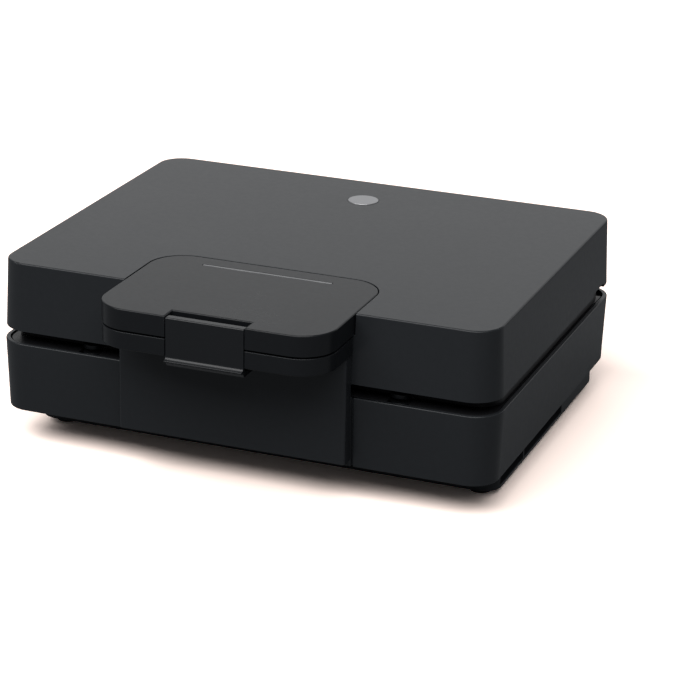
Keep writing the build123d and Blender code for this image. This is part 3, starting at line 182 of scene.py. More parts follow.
class StudioSettings(bpy.types.PropertyGroup):
    """The floor, the lights and the camera."""

    floor_color: FloatVectorProperty(
        name="Floor colour", description="Colour of the pale floor",
        subtype="COLOR", size=3, min=0.0, max=4.0, default=(1.52, 1.29, 1.18))
    floor_gloss_color: FloatVectorProperty(
        name="Floor in reflections", description="Floor as the gloss sees it",
        subtype="COLOR", size=3, min=0.0, max=1.0, default=(0.155, 0.16, 0.166))
    sky_color: FloatVectorProperty(
        name="Surround colour", description="Colour of the even surround",
        subtype="COLOR", size=3, min=0.0, max=1.0, default=(0.94, 0.97, 1.0))
    sky_strength: FloatProperty(
        name="Surround strength", description="Strength of the even surround",
        min=0.0, default=0.2)
    backdrop_strength: FloatProperty(
        name="Backdrop strength", description="Brightness of the backdrop itself",
        min=0.0, default=1.0)
    key_power: FloatProperty(
        name="Key power", description="Power of the front softbox in watts",
        min=0.0, default=98.0)
    rear_power: FloatProperty(
        name="Rear power", description="Power of the wide panel behind in watts",
        min=0.0, default=10.2)
    lens: FloatProperty(
        name="Lens", description="Focal length of the camera in millimetres",
        min=1.0, default=136.55)


# Shader node groups


def group_tree(name, inputs, outputs):
    """A new shader node group with named value inputs and outputs; returns it with its two end nodes."""
    group = bpy.data.node_groups.new(name, "ShaderNodeTree")
    for label, value in inputs:
        socket = group.interface.new_socket(label, in_out="INPUT", socket_type="NodeSocketFloat")
        socket.default_value = value
    for label, kind in outputs:
        group.interface.new_socket(label, in_out="OUTPUT", socket_type=kind)
    return group, group.nodes.new("NodeGroupInput"), group.nodes.new("NodeGroupOutput")


def feed(tree, value, socket):
    """Links a socket to an input, or sets the input to a number."""
    if isinstance(value, (int, float)):
        socket.default_value = value
    else:
        tree.links.new(value, socket)


def math_node(tree, operation, first, second, clamp=False):
    """A Math node of two sockets or numbers, in a shader or a geometry tree; returns its output."""
    node = tree.nodes.new("ShaderNodeMath")
    node.operation = operation
    node.use_clamp = clamp
    feed(tree, first, node.inputs[0])
    feed(tree, second, node.inputs[1])
    return node.outputs[0]


def ramp(tree, value, low, high, low_out=0.0, high_out=1.0):
    """A smooth Map Range from low..high to low_out..high_out; returns its output."""
    node = tree.nodes.new("ShaderNodeMapRange")
    node.interpolation_type = "SMOOTHSTEP"
    tree.links.new(value, node.inputs["Value"])
    for label, limit in (("From Min", low), ("From Max", high), ("To Min", low_out), ("To Max", high_out)):
        feed(tree, limit, node.inputs[label])
    return node.outputs["Result"]


def noise(tree, scale, detail, vector, roughness=0.5):
    """A Noise texture on the given coordinates; returns its value output."""
    node = tree.nodes.new("ShaderNodeTexNoise")
    node.inputs["Detail"].default_value = detail
    node.inputs["Roughness"].default_value = roughness
    tree.links.new(vector, node.inputs["Vector"])
    feed(tree, scale, node.inputs["Scale"])
    return node.outputs["Fac"]


def object_coordinates(tree):
    """The piece's own coordinates, in metres."""
    return tree.nodes.new("ShaderNodeTexCoord").outputs["Object"]


def make_grain_group():
    """Fine spark-eroded mould texture: its height, and a speckle for roughness."""
    group, inside, out = group_tree("Mould grain", [("Scale", 1400.0)],
                                    [("Height", "NodeSocketFloat"), ("Speckle", "NodeSocketFloat")])
    where = object_coordinates(group)
    cells = group.nodes.new("ShaderNodeTexVoronoi")
    cells.feature = "SMOOTH_F1"
    group.links.new(where, cells.inputs["Vector"])
    group.links.new(inside.outputs["Scale"], cells.inputs["Scale"])
    fine = noise(group, math_node(group, "MULTIPLY", inside.outputs["Scale"], 0.6), 3.0, where, 0.6)
    height = math_node(group, "ADD", math_node(group, "MULTIPLY", cells.outputs["Distance"], 0.6),
                       math_node(group, "MULTIPLY", fine, 0.8))
    group.links.new(height, out.inputs["Height"])
    coarse = noise(group, math_node(group, "MULTIPLY", inside.outputs["Scale"], 0.14), 2.0, where)
    group.links.new(coarse, out.inputs["Speckle"])
    return group


def make_edge_wear_and_highlight_group():
    """Convex-edge mask, strongest along convex edges and broken up by noise: the finishes use it for rubbed
    wear and, on the plastics and the light bar, for a painted edge highlight.
    """
    group, inside, out = group_tree("Edge wear and highlight", [("Radius", 0.0006), ("Amount", 0.5), ("Scale", 120.0)],
                                    [("Mask", "NodeSocketFloat")])
    where = object_coordinates(group)
    rounded = group.nodes.new("ShaderNodeBevel")
    rounded.samples = 4
    group.links.new(inside.outputs["Radius"], rounded.inputs["Radius"])
    face = group.nodes.new("ShaderNodeNewGeometry")
    dot = group.nodes.new("ShaderNodeVectorMath")
    dot.operation = "DOT_PRODUCT"
    group.links.new(rounded.outputs["Normal"], dot.inputs[0])
    group.links.new(face.outputs["Normal"], dot.inputs[1])
    edge = ramp(group, dot.outputs["Value"], 0.995, 0.86)
    patches = ramp(group, noise(group, inside.outputs["Scale"], 4.0, where, 0.6), 0.42, 0.66, 0.25, 1.0)
    mask = math_node(group, "MULTIPLY", math_node(group, "MULTIPLY", edge, patches),
                     inside.outputs["Amount"], clamp=True)
    group.links.new(mask, out.inputs["Mask"])
    return group


def make_marks_group():
    """Handling marks: broad soft smudges with finer wipes in them."""
    group, inside, out = group_tree("Handling marks", [("Scale", 14.0), ("Amount", 0.5)],
                                    [("Mask", "NodeSocketFloat")])
    where = object_coordinates(group)
    stretch = group.nodes.new("ShaderNodeMapping")
    stretch.inputs["Rotation"].default_value = (0.2, 0.4, 0.7)
    stretch.inputs["Scale"].default_value = (1.0, 3.2, 1.4)
    group.links.new(where, stretch.inputs["Vector"])
    broad = ramp(group, noise(group, inside.outputs["Scale"], 3.0, where, 0.55), 0.45, 0.72)
    wipes = noise(group, math_node(group, "MULTIPLY", inside.outputs["Scale"], 7.0), 5.0,
                  stretch.outputs["Vector"], 0.65)
    broken = math_node(group, "MULTIPLY", broad, ramp(group, wipes, 0.35, 0.7, 0.3, 1.0))
    mask = math_node(group, "MULTIPLY", broken, inside.outputs["Amount"], clamp=True)
    group.links.new(mask, out.inputs["Mask"])
    return group


def make_dust_group():
    """Settled dust: sparse specks and a thin film on faces that look up."""
    group, inside, out = group_tree("Settled dust", [("Scale", 900.0), ("Amount", 0.3)],
                                    [("Mask", "NodeSocketFloat")])
    where = object_coordinates(group)
    face = group.nodes.new("ShaderNodeNewGeometry")
    apart = group.nodes.new("ShaderNodeSeparateXYZ")
    group.links.new(face.outputs["Normal"], apart.inputs["Vector"])
    upward = ramp(group, apart.outputs["Z"], 0.35, 0.95)
    specks = ramp(group, noise(group, inside.outputs["Scale"], 2.0, where, 0.7), 0.66, 0.74)
    clouds = noise(group, math_node(group, "MULTIPLY", inside.outputs["Scale"], 0.02), 3.0, where)
    film = ramp(group, clouds, 0.35, 0.75, 0.2, 1.0)
    settled = math_node(group, "MULTIPLY", math_node(group, "ADD", specks, 0.12), inside.outputs["Amount"])
    mask = math_node(group, "MULTIPLY", math_node(group, "MULTIPLY", upward, film), settled, clamp=True)
    group.links.new(mask, out.inputs["Mask"])
    return group


EFFECTS = {"grain": make_grain_group, "wear_and_highlight": make_edge_wear_and_highlight_group,
           "marks": make_marks_group, "dust": make_dust_group}
built_effects = {}


def effect(tree, kind, **values):
    """One placed copy of a shared effect group, with its own values; returns its outputs."""
    if kind not in built_effects:
        built_effects[kind] = EFFECTS[kind]()
    node = tree.nodes.new("ShaderNodeGroup")
    node.node_tree = built_effects[kind]
    for label, value in values.items():
        node.inputs[label.capitalize()].default_value = value
    return node.outputs


def mix_colors(tree, factor, first, second):
    """A colour Mix node of two colours or sockets; returns its output."""
    node = tree.nodes.new("ShaderNodeMix")
    node.data_type = "RGBA"
    tree.links.new(factor, node.inputs["Factor"])
    for label, value in (("A", first), ("B", second)):
        socket = [s for s in node.inputs if s.name == label and s.type == "RGBA"][0]
        if isinstance(value, bpy.types.NodeSocket):
            tree.links.new(value, socket)
        else:
            socket.default_value = (*value[:3], 1.0)
    return [s for s in node.outputs if s.type == "RGBA"][0]


def shade(color, factor):
    """A colour made darker or lighter by a factor."""
    return tuple(min(1.0, part * factor) for part in color[:3])


def surface(name, metallic=0.0, specular=0.5, coat=0.0, coat_roughness=0.1):
    """A new material; returns it with its node tree and its Principled shader."""
    material = bpy.data.materials.new(name)
    material.use_nodes = True
    tree = material.node_tree
    shader = tree.nodes["Principled BSDF"]
    shader.inputs["Metallic"].default_value = metallic
    shader.inputs["Specular IOR Level"].default_value = specular
    shader.inputs["Coat Weight"].default_value = coat
    shader.inputs["Coat Roughness"].default_value = coat_roughness
    return material, tree, shader


def bump(tree, shader, height, strength, distance):
    """Feeds a height through a Bump node to the shader's normal."""
    node = tree.nodes.new("ShaderNodeBump")
    node.inputs["Strength"].default_value = strength
    node.inputs["Distance"].default_value = distance
    tree.links.new(height, node.inputs["Height"])
    tree.links.new(node.outputs["Normal"], shader.inputs["Normal"])


def moulded_plastic(name, color, roughness, specular, grain_scale, grain_depth, wear_and_highlight, marks):
    """Moulded plastic: eroded grain, edges lightened as rubbed wear and as a painted highlight, handling
    marks and a little dust.
    """
    material, tree, shader = surface(name, specular=specular)
    grain = effect(tree, "grain", scale=grain_scale)
    edge_wear_and_highlight = effect(tree, "wear_and_highlight", radius=0.0007, amount=wear_and_highlight)["Mask"]
    handled = effect(tree, "marks", amount=marks)["Mask"]
    dusty = effect(tree, "dust", amount=0.02)["Mask"]
    tone = mix_colors(tree, grain["Speckle"], shade(color, 0.94), shade(color, 1.07))
    # Convex edges lightened: partly rubbed wear, partly a painted highlight for the thin light lines along
    # the moulded edges
    tone = mix_colors(tree, edge_wear_and_highlight, tone, shade(color, 3.2))
    tone = mix_colors(tree, dusty, tone, (0.3, 0.29, 0.28))
    tree.links.new(tone, shader.inputs["Base Color"])
    rough = ramp(tree, grain["Speckle"], 0.3, 0.7, roughness - 0.01, roughness + 0.015)
    for mask, change in ((handled, -0.04), (edge_wear_and_highlight, -0.12)):
        rough = math_node(tree, "ADD", rough, math_node(tree, "MULTIPLY", mask, change))
    rough = math_node(tree, "ADD", rough, math_node(tree, "MULTIPLY", dusty, 0.35), clamp=True)
    tree.links.new(rough, shader.inputs["Roughness"])
    bump(tree, shader, grain["Height"], grain_depth, 0.05 * MM)
    return material


def rubber(name, color):
    """Moulded rubber: matt, with a coarse bloom and dust in its pores."""
    material, tree, shader = surface(name, specular=0.25)
    grain = effect(tree, "grain", scale=700.0)
    edge_wear_and_highlight = effect(tree, "wear_and_highlight", radius=0.0006, amount=0.5)["Mask"]
    tone = mix_colors(tree, grain["Speckle"], shade(color, 0.8), shade(color, 1.5))
    tone = mix_colors(tree, edge_wear_and_highlight, tone, shade(color, 3.5))
    tree.links.new(tone, shader.inputs["Base Color"])
    tree.links.new(ramp(tree, grain["Speckle"], 0.3, 0.7, 0.68, 0.86), shader.inputs["Roughness"])
    bump(tree, shader, grain["Height"], 0.35, 0.1 * MM)
    return material


def streaks(tree, across, scale):
    """Fine lines drawn out by rolling or brushing; across gives the squeeze on each axis."""
    mapping = tree.nodes.new("ShaderNodeMapping")
    mapping.inputs["Scale"].default_value = across
    tree.links.new(object_coordinates(tree), mapping.inputs["Vector"])
    return noise(tree, scale, 5.0, mapping.outputs["Vector"], 0.7)


def drawn_metal(name, color, roughness, across, scale, wear_and_highlight, tint=None):
    """Bare or plated metal: lines in one direction, cloudy patches and brighter edges."""
    material, tree, shader = surface(name, metallic=1.0)
    lines = streaks(tree, across, scale)
    cloud = noise(tree, 40.0, 3.0, object_coordinates(tree))
    edge_wear_and_highlight = effect(tree, "wear_and_highlight", radius=0.0004, amount=wear_and_highlight)["Mask"]
    tone = mix_colors(tree, lines, shade(color, 0.82), shade(color, 1.08))
    tone = mix_colors(tree, ramp(tree, cloud, 0.4, 0.7, 0.0, 0.5), tone, tint or shade(color, 0.75))
    tone = mix_colors(tree, edge_wear_and_highlight, tone, shade(color, 1.35))
    tree.links.new(tone, shader.inputs["Base Color"])
    rough = math_node(tree, "ADD", ramp(tree, lines, 0.3, 0.7, roughness - 0.07, roughness + 0.07),
                      ramp(tree, cloud, 0.4, 0.7, 0.0, 0.1))
    tree.links.new(rough, shader.inputs["Roughness"])
    bump(tree, shader, lines, 0.12, 0.02 * MM)
    return material


def nonstick_coating(name, color):
    """Sprayed non-stick coating on a casting: orange peel, fine fleck and worn ridges."""
    material, tree, shader = surface(name, specular=0.45)
    where = object_coordinates(tree)
    peel = noise(tree, 420.0, 2.0, where)
    fleck = ramp(tree, noise(tree, 2600.0, 1.0, where), 0.68, 0.75)
    edge_wear_and_highlight = effect(tree, "wear_and_highlight", radius=0.0012, amount=0.45, scale=90.0)["Mask"]
    handled = effect(tree, "marks", scale=18.0, amount=0.7)["Mask"]
    tone = mix_colors(tree, fleck, color, shade(color, 3.0))
    tone = mix_colors(tree, edge_wear_and_highlight, tone, (0.12, 0.12, 0.12))
    tree.links.new(tone, shader.inputs["Base Color"])
    rough = math_node(tree, "ADD", ramp(tree, peel, 0.3, 0.7, 0.3, 0.38),
                      math_node(tree, "MULTIPLY", handled, 0.1))
    tree.links.new(rough, shader.inputs["Roughness"])
    bump(tree, shader, peel, 0.2, 0.08 * MM)
    return material


def satin_badge(name, color):
    """Satin metal badge, finely turned in circles about its middle, with a few hairline scratches."""
    material, tree, shader = surface(name, metallic=0.85)
    low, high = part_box("badge")
    mapping = tree.nodes.new("ShaderNodeMapping")
    mapping.inputs["Location"].default_value = -(low + high) / 2
    tree.links.new(object_coordinates(tree), mapping.inputs["Vector"])
    rings = tree.nodes.new("ShaderNodeTexWave")
    rings.wave_type = "RINGS"
    rings.rings_direction = "Z"
    rings.inputs["Scale"].default_value = 1500.0
    rings.inputs["Distortion"].default_value = 2.0
    rings.inputs["Detail"].default_value = 3.0
    tree.links.new(mapping.outputs["Vector"], rings.inputs["Vector"])
    scratch = streaks(tree, (1.0, 18.0, 1.0), 300.0)
    tone = mix_colors(tree, rings.outputs["Fac"], shade(color, 0.9), shade(color, 1.06))
    tone = mix_colors(tree, ramp(tree, scratch, 0.62, 0.7, 0.0, 0.3), tone, shade(color, 0.6))
    tree.links.new(tone, shader.inputs["Base Color"])
    tree.links.new(ramp(tree, rings.outputs["Fac"], 0.2, 0.8, 0.36, 0.46), shader.inputs["Roughness"])
    bump(tree, shader, rings.outputs["Fac"], 0.1, 0.02 * MM)
    return material


def smoked_lens(name):
    """Smoked light bar: glossy, cloudy inside, with a painted highlight: a paler lower edge where light
    gathers.
    """
    material, tree, shader = surface(name, specular=0.5, coat=0.4, coat_roughness=0.12)
    where = object_coordinates(tree)
    cloud = noise(tree, 160.0, 3.0, where)
    edge_wear_and_highlight = effect(tree, "wear_and_highlight", radius=0.0005, amount=0.9, scale=60.0)["Mask"]
    tone = mix_colors(tree, cloud, (0.035, 0.035, 0.038), (0.07, 0.07, 0.075))
    # Convex edges lightened to pale grey: a painted highlight for the light gathered along the bar's lower
    # edge
    tone = mix_colors(tree, edge_wear_and_highlight, tone, (0.28, 0.28, 0.29))
    tree.links.new(tone, shader.inputs["Base Color"])
    tree.links.new(ramp(tree, cloud, 0.3, 0.7, 0.2, 0.32), shader.inputs["Roughness"])
    bump(tree, shader, cloud, 0.08, 0.05 * MM)
    return material


def circuit_board(name):
    """Resist-coated board: green, with faint tracks under the coating."""
    material, tree, shader = surface(name, specular=0.5, coat=0.3)
    where = object_coordinates(tree)
    bricks = tree.nodes.new("ShaderNodeTexBrick")
    bricks.inputs["Scale"].default_value = 140.0
    bricks.inputs["Mortar Size"].default_value = 0.03
    bricks.inputs["Color1"].default_value = (0.02, 0.11, 0.05, 1.0)
    bricks.inputs["Color2"].default_value = (0.015, 0.09, 0.04, 1.0)
    bricks.inputs["Mortar"].default_value = (0.05, 0.2, 0.09, 1.0)
    tree.links.new(where, bricks.inputs["Vector"])
    cloud = noise(tree, 200.0, 3.0, where)
    tree.links.new(bricks.outputs["Color"], shader.inputs["Base Color"])
    tree.links.new(ramp(tree, cloud, 0.3, 0.7, 0.3, 0.45), shader.inputs["Roughness"])
    bump(tree, shader, bricks.outputs["Fac"], 0.15, 0.05 * MM)
    return material


def fired_white(name, color):
    """Off-white ceramic or glass-filled plastic: matt, faintly mottled, grey at its edges."""
    material, tree, shader = surface(name, specular=0.4)
    where = object_coordinates(tree)
    mottle = noise(tree, 260.0, 4.0, where, 0.6)
    edge_wear_and_highlight = effect(tree, "wear_and_highlight", radius=0.0005, amount=0.6)["Mask"]
    tone = mix_colors(tree, mottle, shade(color, 0.88), color)
    tone = mix_colors(tree, edge_wear_and_highlight, tone, shade(color, 0.6))
    tree.links.new(tone, shader.inputs["Base Color"])
    tree.links.new(ramp(tree, mottle, 0.3, 0.7, 0.5, 0.62), shader.inputs["Roughness"])
    bump(tree, shader, mottle, 0.15, 0.05 * MM)
    return material


finishes = {}


def finish(kind):
    """The named finish, made once from the scene's settings."""
    if kind in finishes:
        return finishes[kind]
    scene = bpy.context.scene
    mould, cook, fit = scene.sandwich_moulding, scene.sandwich_cooking, scene.sandwich_fittings
    grain = mould.grain_depth
    makers = {
        # A plastic's wear amount sets how far its edges are lightened, as rubbed wear and painted edge
        # highlight together
        "housing": lambda: moulded_plastic("Housing black", mould.housing_color, roughness=0.3, specular=0.2,
                                           grain_scale=2300.0, grain_depth=grain, wear_and_highlight=0.35, marks=0.35),
        "handle": lambda: moulded_plastic("Handle black", mould.handle_color, roughness=0.29, specular=0.18,
                                          grain_scale=2600.0, grain_depth=0.8 * grain, wear_and_highlight=0.45, marks=0.5),
        "latch": lambda: moulded_plastic("Latch black", mould.latch_color, roughness=0.24, specular=0.26,
                                         grain_scale=3000.0, grain_depth=0.4 * grain, wear_and_highlight=0.6, marks=0.6),
        # The carrier's colour is partly painted shade for the gap between the halves
        "carrier": lambda: moulded_plastic("Carrier black with painted gap shade", mould.carrier_color_and_gap_shade, roughness=0.3, specular=0.16,
                                           grain_scale=1600.0, grain_depth=0.5 * grain, wear_and_highlight=0.3, marks=0.2),
        "coating": lambda: nonstick_coating("Non-stick coating", cook.coating_color),
        "sheath": lambda: drawn_metal("Heater sheath", (0.3, 0.29, 0.28), roughness=0.42, wear_and_highlight=0.2,
                                      across=(1.0, 1.0, 6.0), scale=300.0, tint=(0.16, 0.11, 0.09)),
        "reflector": lambda: drawn_metal("Reflector sheet", (0.72, 0.72, 0.73), roughness=0.28, wear_and_highlight=0.2,
                                         across=(14.0, 1.0, 1.0), scale=60.0),
        "steel": lambda: drawn_metal("Zinc-plated steel", fit.steel_color, roughness=0.34, wear_and_highlight=0.5,
                                     across=(6.0, 6.0, 1.0), scale=300.0),
        "badge": lambda: satin_badge("Badge metal", fit.badge_color),
        "lens": lambda: smoked_lens("Smoked lens"),
        "board": lambda: circuit_board("Board resist"),
        "white": lambda: fired_white("Fired white", (0.62, 0.6, 0.56)),
        "rubber": lambda: rubber("Foot rubber", fit.rubber_color),
    }
    finishes[kind] = makers[kind]()
    return finishes[kind]


# Meshes


def link(name, mesh):
    """A new object at the origin that holds the mesh."""
    piece = bpy.data.objects.new(name, mesh)
    bpy.context.scene.collection.objects.link(piece)
    return piece


def applied(piece):
    """Turns the piece's modifiers into its plain mesh and removes them."""
    graph = bpy.context.evaluated_depsgraph_get()
    mesh = bpy.data.meshes.new_from_object(piece.evaluated_get(graph), preserve_all_data_layers=True,
                                           depsgraph=graph)
    piece.modifiers.clear()
    piece.data = mesh
    return piece


def smooth(piece):
    """Shades a piece smoothly, except over its sharp edges."""
    piece.data.shade_smooth()
    piece.data.set_sharp_from_angle(angle=SHARP_ANGLE)
    return piece


def dress(piece, kind, body, nodes=()):
    """Gives a piece its finish and its body, and hides the CAD nodes it stands for."""
    piece.data.materials.clear()
    piece.data.materials.append(finish(kind))
    if nodes:
        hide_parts(*nodes)
    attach(piece, body)
    return piece


def body_of(node):
    """The body that a CAD node rides on."""
    return frame["nodes"][node]["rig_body"]


def repaint(node, kind):
    """Gives a carried-over CAD node a detailed finish."""
    piece = frame["nodes"][node]
    for material_slot in piece.material_slots:
        material_slot.material = finish(kind)


def merged(node):
    """A bmesh copy of a CAD node with its triangles joined and its flat faces whole."""
    mesh = bmesh.new()
    mesh.from_mesh(frame["nodes"][node].data)
    bmesh.ops.remove_doubles(mesh, verts=mesh.verts, dist=MERGE_DISTANCE)
    bmesh.ops.dissolve_limit(mesh, angle_limit=FLAT_ANGLE, verts=mesh.verts, edges=mesh.edges)
    return mesh


def node_copy(node, name):
    """An object with a clean copy of the node's form."""
    mesh = bpy.data.meshes.new(name)
    source = merged(node)
    source.to_mesh(mesh)
    source.free()
    return link(name, mesh)


def round_edges(piece, width, steps):
    """Rounds a piece's sharp edges, as a moulding or a casting has them."""
    rounding = piece.modifiers.new("Rounded edges", "BEVEL")
    rounding.width = width
    rounding.segments = steps
    rounding.limit_method = "ANGLE"
    rounding.angle_limit = BEVEL_ANGLE
    rounding.miter_outer = "MITER_ARC"
    rounding.use_clamp_overlap = False
    applied(piece)
    smooth(piece)
    even = piece.modifiers.new("Even shading", "WEIGHTED_NORMAL")
    even.keep_sharp = True
    return applied(piece)


def cut_box(piece, low, high, lean):
    """Takes a box out of a piece, with the box's foot moved back by lean."""
    box = bmesh.new()
    bmesh.ops.create_cube(box, size=1.0)
    bmesh.ops.scale(box, vec=high - low, verts=box.verts)
    bmesh.ops.translate(box, vec=(low + high) / 2, verts=box.verts)
    for vert in box.verts:
        if vert.co.z < (low.z + high.z) / 2:
            vert.co.y += lean
    mesh = bpy.data.meshes.new(piece.name + "_cut")
    box.to_mesh(mesh)
    box.free()
    cutter = link(piece.name + "_cutter", mesh)
    taken = piece.modifiers.new("Cut", "BOOLEAN")
    taken.operation = "DIFFERENCE"
    taken.solver = "EXACT"
    taken.object = cutter
    applied(piece)
    bpy.data.objects.remove(cutter)
    return piece


def softened(node, kind, width, steps, name=None, cuts=()):
    """The node's form with its sharp edges rounded, less the boxes in cuts."""
    piece = node_copy(node, name or node + "_moulding")
    for low, high, lean in cuts:
        cut_box(piece, low, high, lean)
    round_edges(piece, width, steps)
    low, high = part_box(node)
    for vertex in piece.data.vertices:
        vertex.co = [min(max(vertex.co[k], low[k]), high[k]) for k in range(3)]
    return dress(piece, kind, body_of(node), (node,))


def profile_mesh(name, outline, bore, half):
    """An outline in (y, z) with a round bore, drawn out sideways to both sides of the middle."""
    mesh = bmesh.new()
    edges = []
    for loop in (outline, bore):
        ring = [mesh.verts.new((-half, y, z)) for y, z in loop]
        edges += [mesh.edges.new((ring[k - 1], ring[k])) for k in range(len(ring))]
    bmesh.ops.triangle_fill(mesh, edges=edges, use_beauty=True)
    drawn = bmesh.ops.extrude_face_region(mesh, geom=mesh.faces[:])
    moving = [part for part in drawn["geom"] if isinstance(part, bmesh.types.BMVert)]
    bmesh.ops.translate(mesh, vec=(2 * half, 0.0, 0.0), verts=moving)
    bmesh.ops.dissolve_limit(mesh, angle_limit=FLAT_ANGLE, verts=mesh.verts, edges=mesh.edges)
    bmesh.ops.recalc_face_normals(mesh, faces=mesh.faces)
    data = bpy.data.meshes.new(name)
    mesh.to_mesh(data)
    mesh.free()
    return data


def arc(centre, radius, start, end, steps):
    """Points (y, z) on an arc, angles in degrees from the rear, turning up."""
    angles = [radians(start + (end - start) * k / steps) for k in range(steps + 1)]
    return [(centre[0] + radius * cos(angle), centre[1] + radius * sin(angle)) for angle in angles]


def turned(name, rings, centre, turn, kind, node):
    """A form turned about an axis through centre, from rings of (radius, height).

    Where neither end runs in to the axis, the form is a ring, so its last row joins its first.
    """
    mesh = bmesh.new()
    rows = []
    for radius, height in rings:
        count = TURN_STEPS if radius > MERGE_DISTANCE else 1
        angles = [2 * pi * k / TURN_STEPS for k in range(count)]
        places = [Vector((radius * cos(angle), radius * sin(angle), height)) for angle in angles]
        rows.append([mesh.verts.new(centre + turn @ place) for place in places])
    pairs = list(zip(rows, rows[1:]))
    if len(rows[0]) > 1 and len(rows[-1]) > 1:
        pairs.append((rows[-1], rows[0]))
    for lower, upper in pairs:
        for k in range(TURN_STEPS):
            corners = [lower[k % len(lower)], lower[(k + 1) % len(lower)],
                       upper[(k + 1) % len(upper)], upper[k % len(upper)]]
            corners = [v for i, v in enumerate(corners) if v not in corners[:i]]
            if len(corners) > 2:
                mesh.faces.new(corners)
    bmesh.ops.recalc_face_normals(mesh, faces=mesh.faces)
    data = bpy.data.meshes.new(name)
    mesh.to_mesh(data)
    mesh.free()
    return dress(smooth(link(name, data)), kind, body_of(node), (node,))


# Geometry node trees


def new_geometry_tree(name, inputs):
    """A geometry tree with named inputs; returns it with its two end nodes."""
    tree = bpy.data.node_groups.new(name, "GeometryNodeTree")
    tree.interface.new_socket("Geometry", in_out="INPUT", socket_type="NodeSocketGeometry")
    for label, kind, value in inputs:
        socket = tree.interface.new_socket(label, in_out="INPUT", socket_type=kind)
        if value is not None:
            socket.default_value = value
    tree.interface.new_socket("Geometry", in_out="OUTPUT", socket_type="NodeSocketGeometry")
    return tree, tree.nodes.new("NodeGroupInput"), tree.nodes.new("NodeGroupOutput")


def finish_tree(tree, inside, out, geometry):
    """Ends a tree in Realize Instances and Set Material."""
    real = tree.nodes.new("GeometryNodeRealizeInstances")
    paint = tree.nodes.new("GeometryNodeSetMaterial")
    tree.links.new(geometry, real.inputs["Geometry"])
    tree.links.new(real.outputs["Geometry"], paint.inputs["Geometry"])
    tree.links.new(inside.outputs["Finish"], paint.inputs["Material"])
    tree.links.new(paint.outputs["Geometry"], out.inputs["Geometry"])


def run_tree(piece, tree, **values):
    """Puts a geometry tree on a piece and sets the tree's named inputs."""
    modifier = piece.modifiers.new(tree.name, "NODES")
    modifier.node_group = tree
    keys = {item.name: item.identifier for item in tree.interface.items_tree
            if getattr(item, "in_out", "") == "INPUT"}
    for label, value in values.items():
        modifier[keys[label.replace("_", " ").capitalize()]] = value


def grow(piece, tree, **values):
    """Runs a geometry tree on a piece with the given named inputs and keeps its plain mesh."""
    run_tree(piece, tree, **values)
    return applied(piece)


def vector_of(tree, x=0.0, y=0.0, z=0.0):
    """A vector of three sockets or numbers."""
    node = tree.nodes.new("ShaderNodeCombineXYZ")
    for value, socket in zip((x, y, z), node.inputs):
        feed(tree, value, socket)
    return node.outputs[0]


def raised(tree, geometry, height):
    """The geometry moved up by a height, which is a socket or a number."""
    node = tree.nodes.new("GeometryNodeTransform")
    tree.links.new(geometry, node.inputs["Geometry"])
    tree.links.new(vector_of(tree, z=height), node.inputs["Translation"])
    return node.outputs["Geometry"]


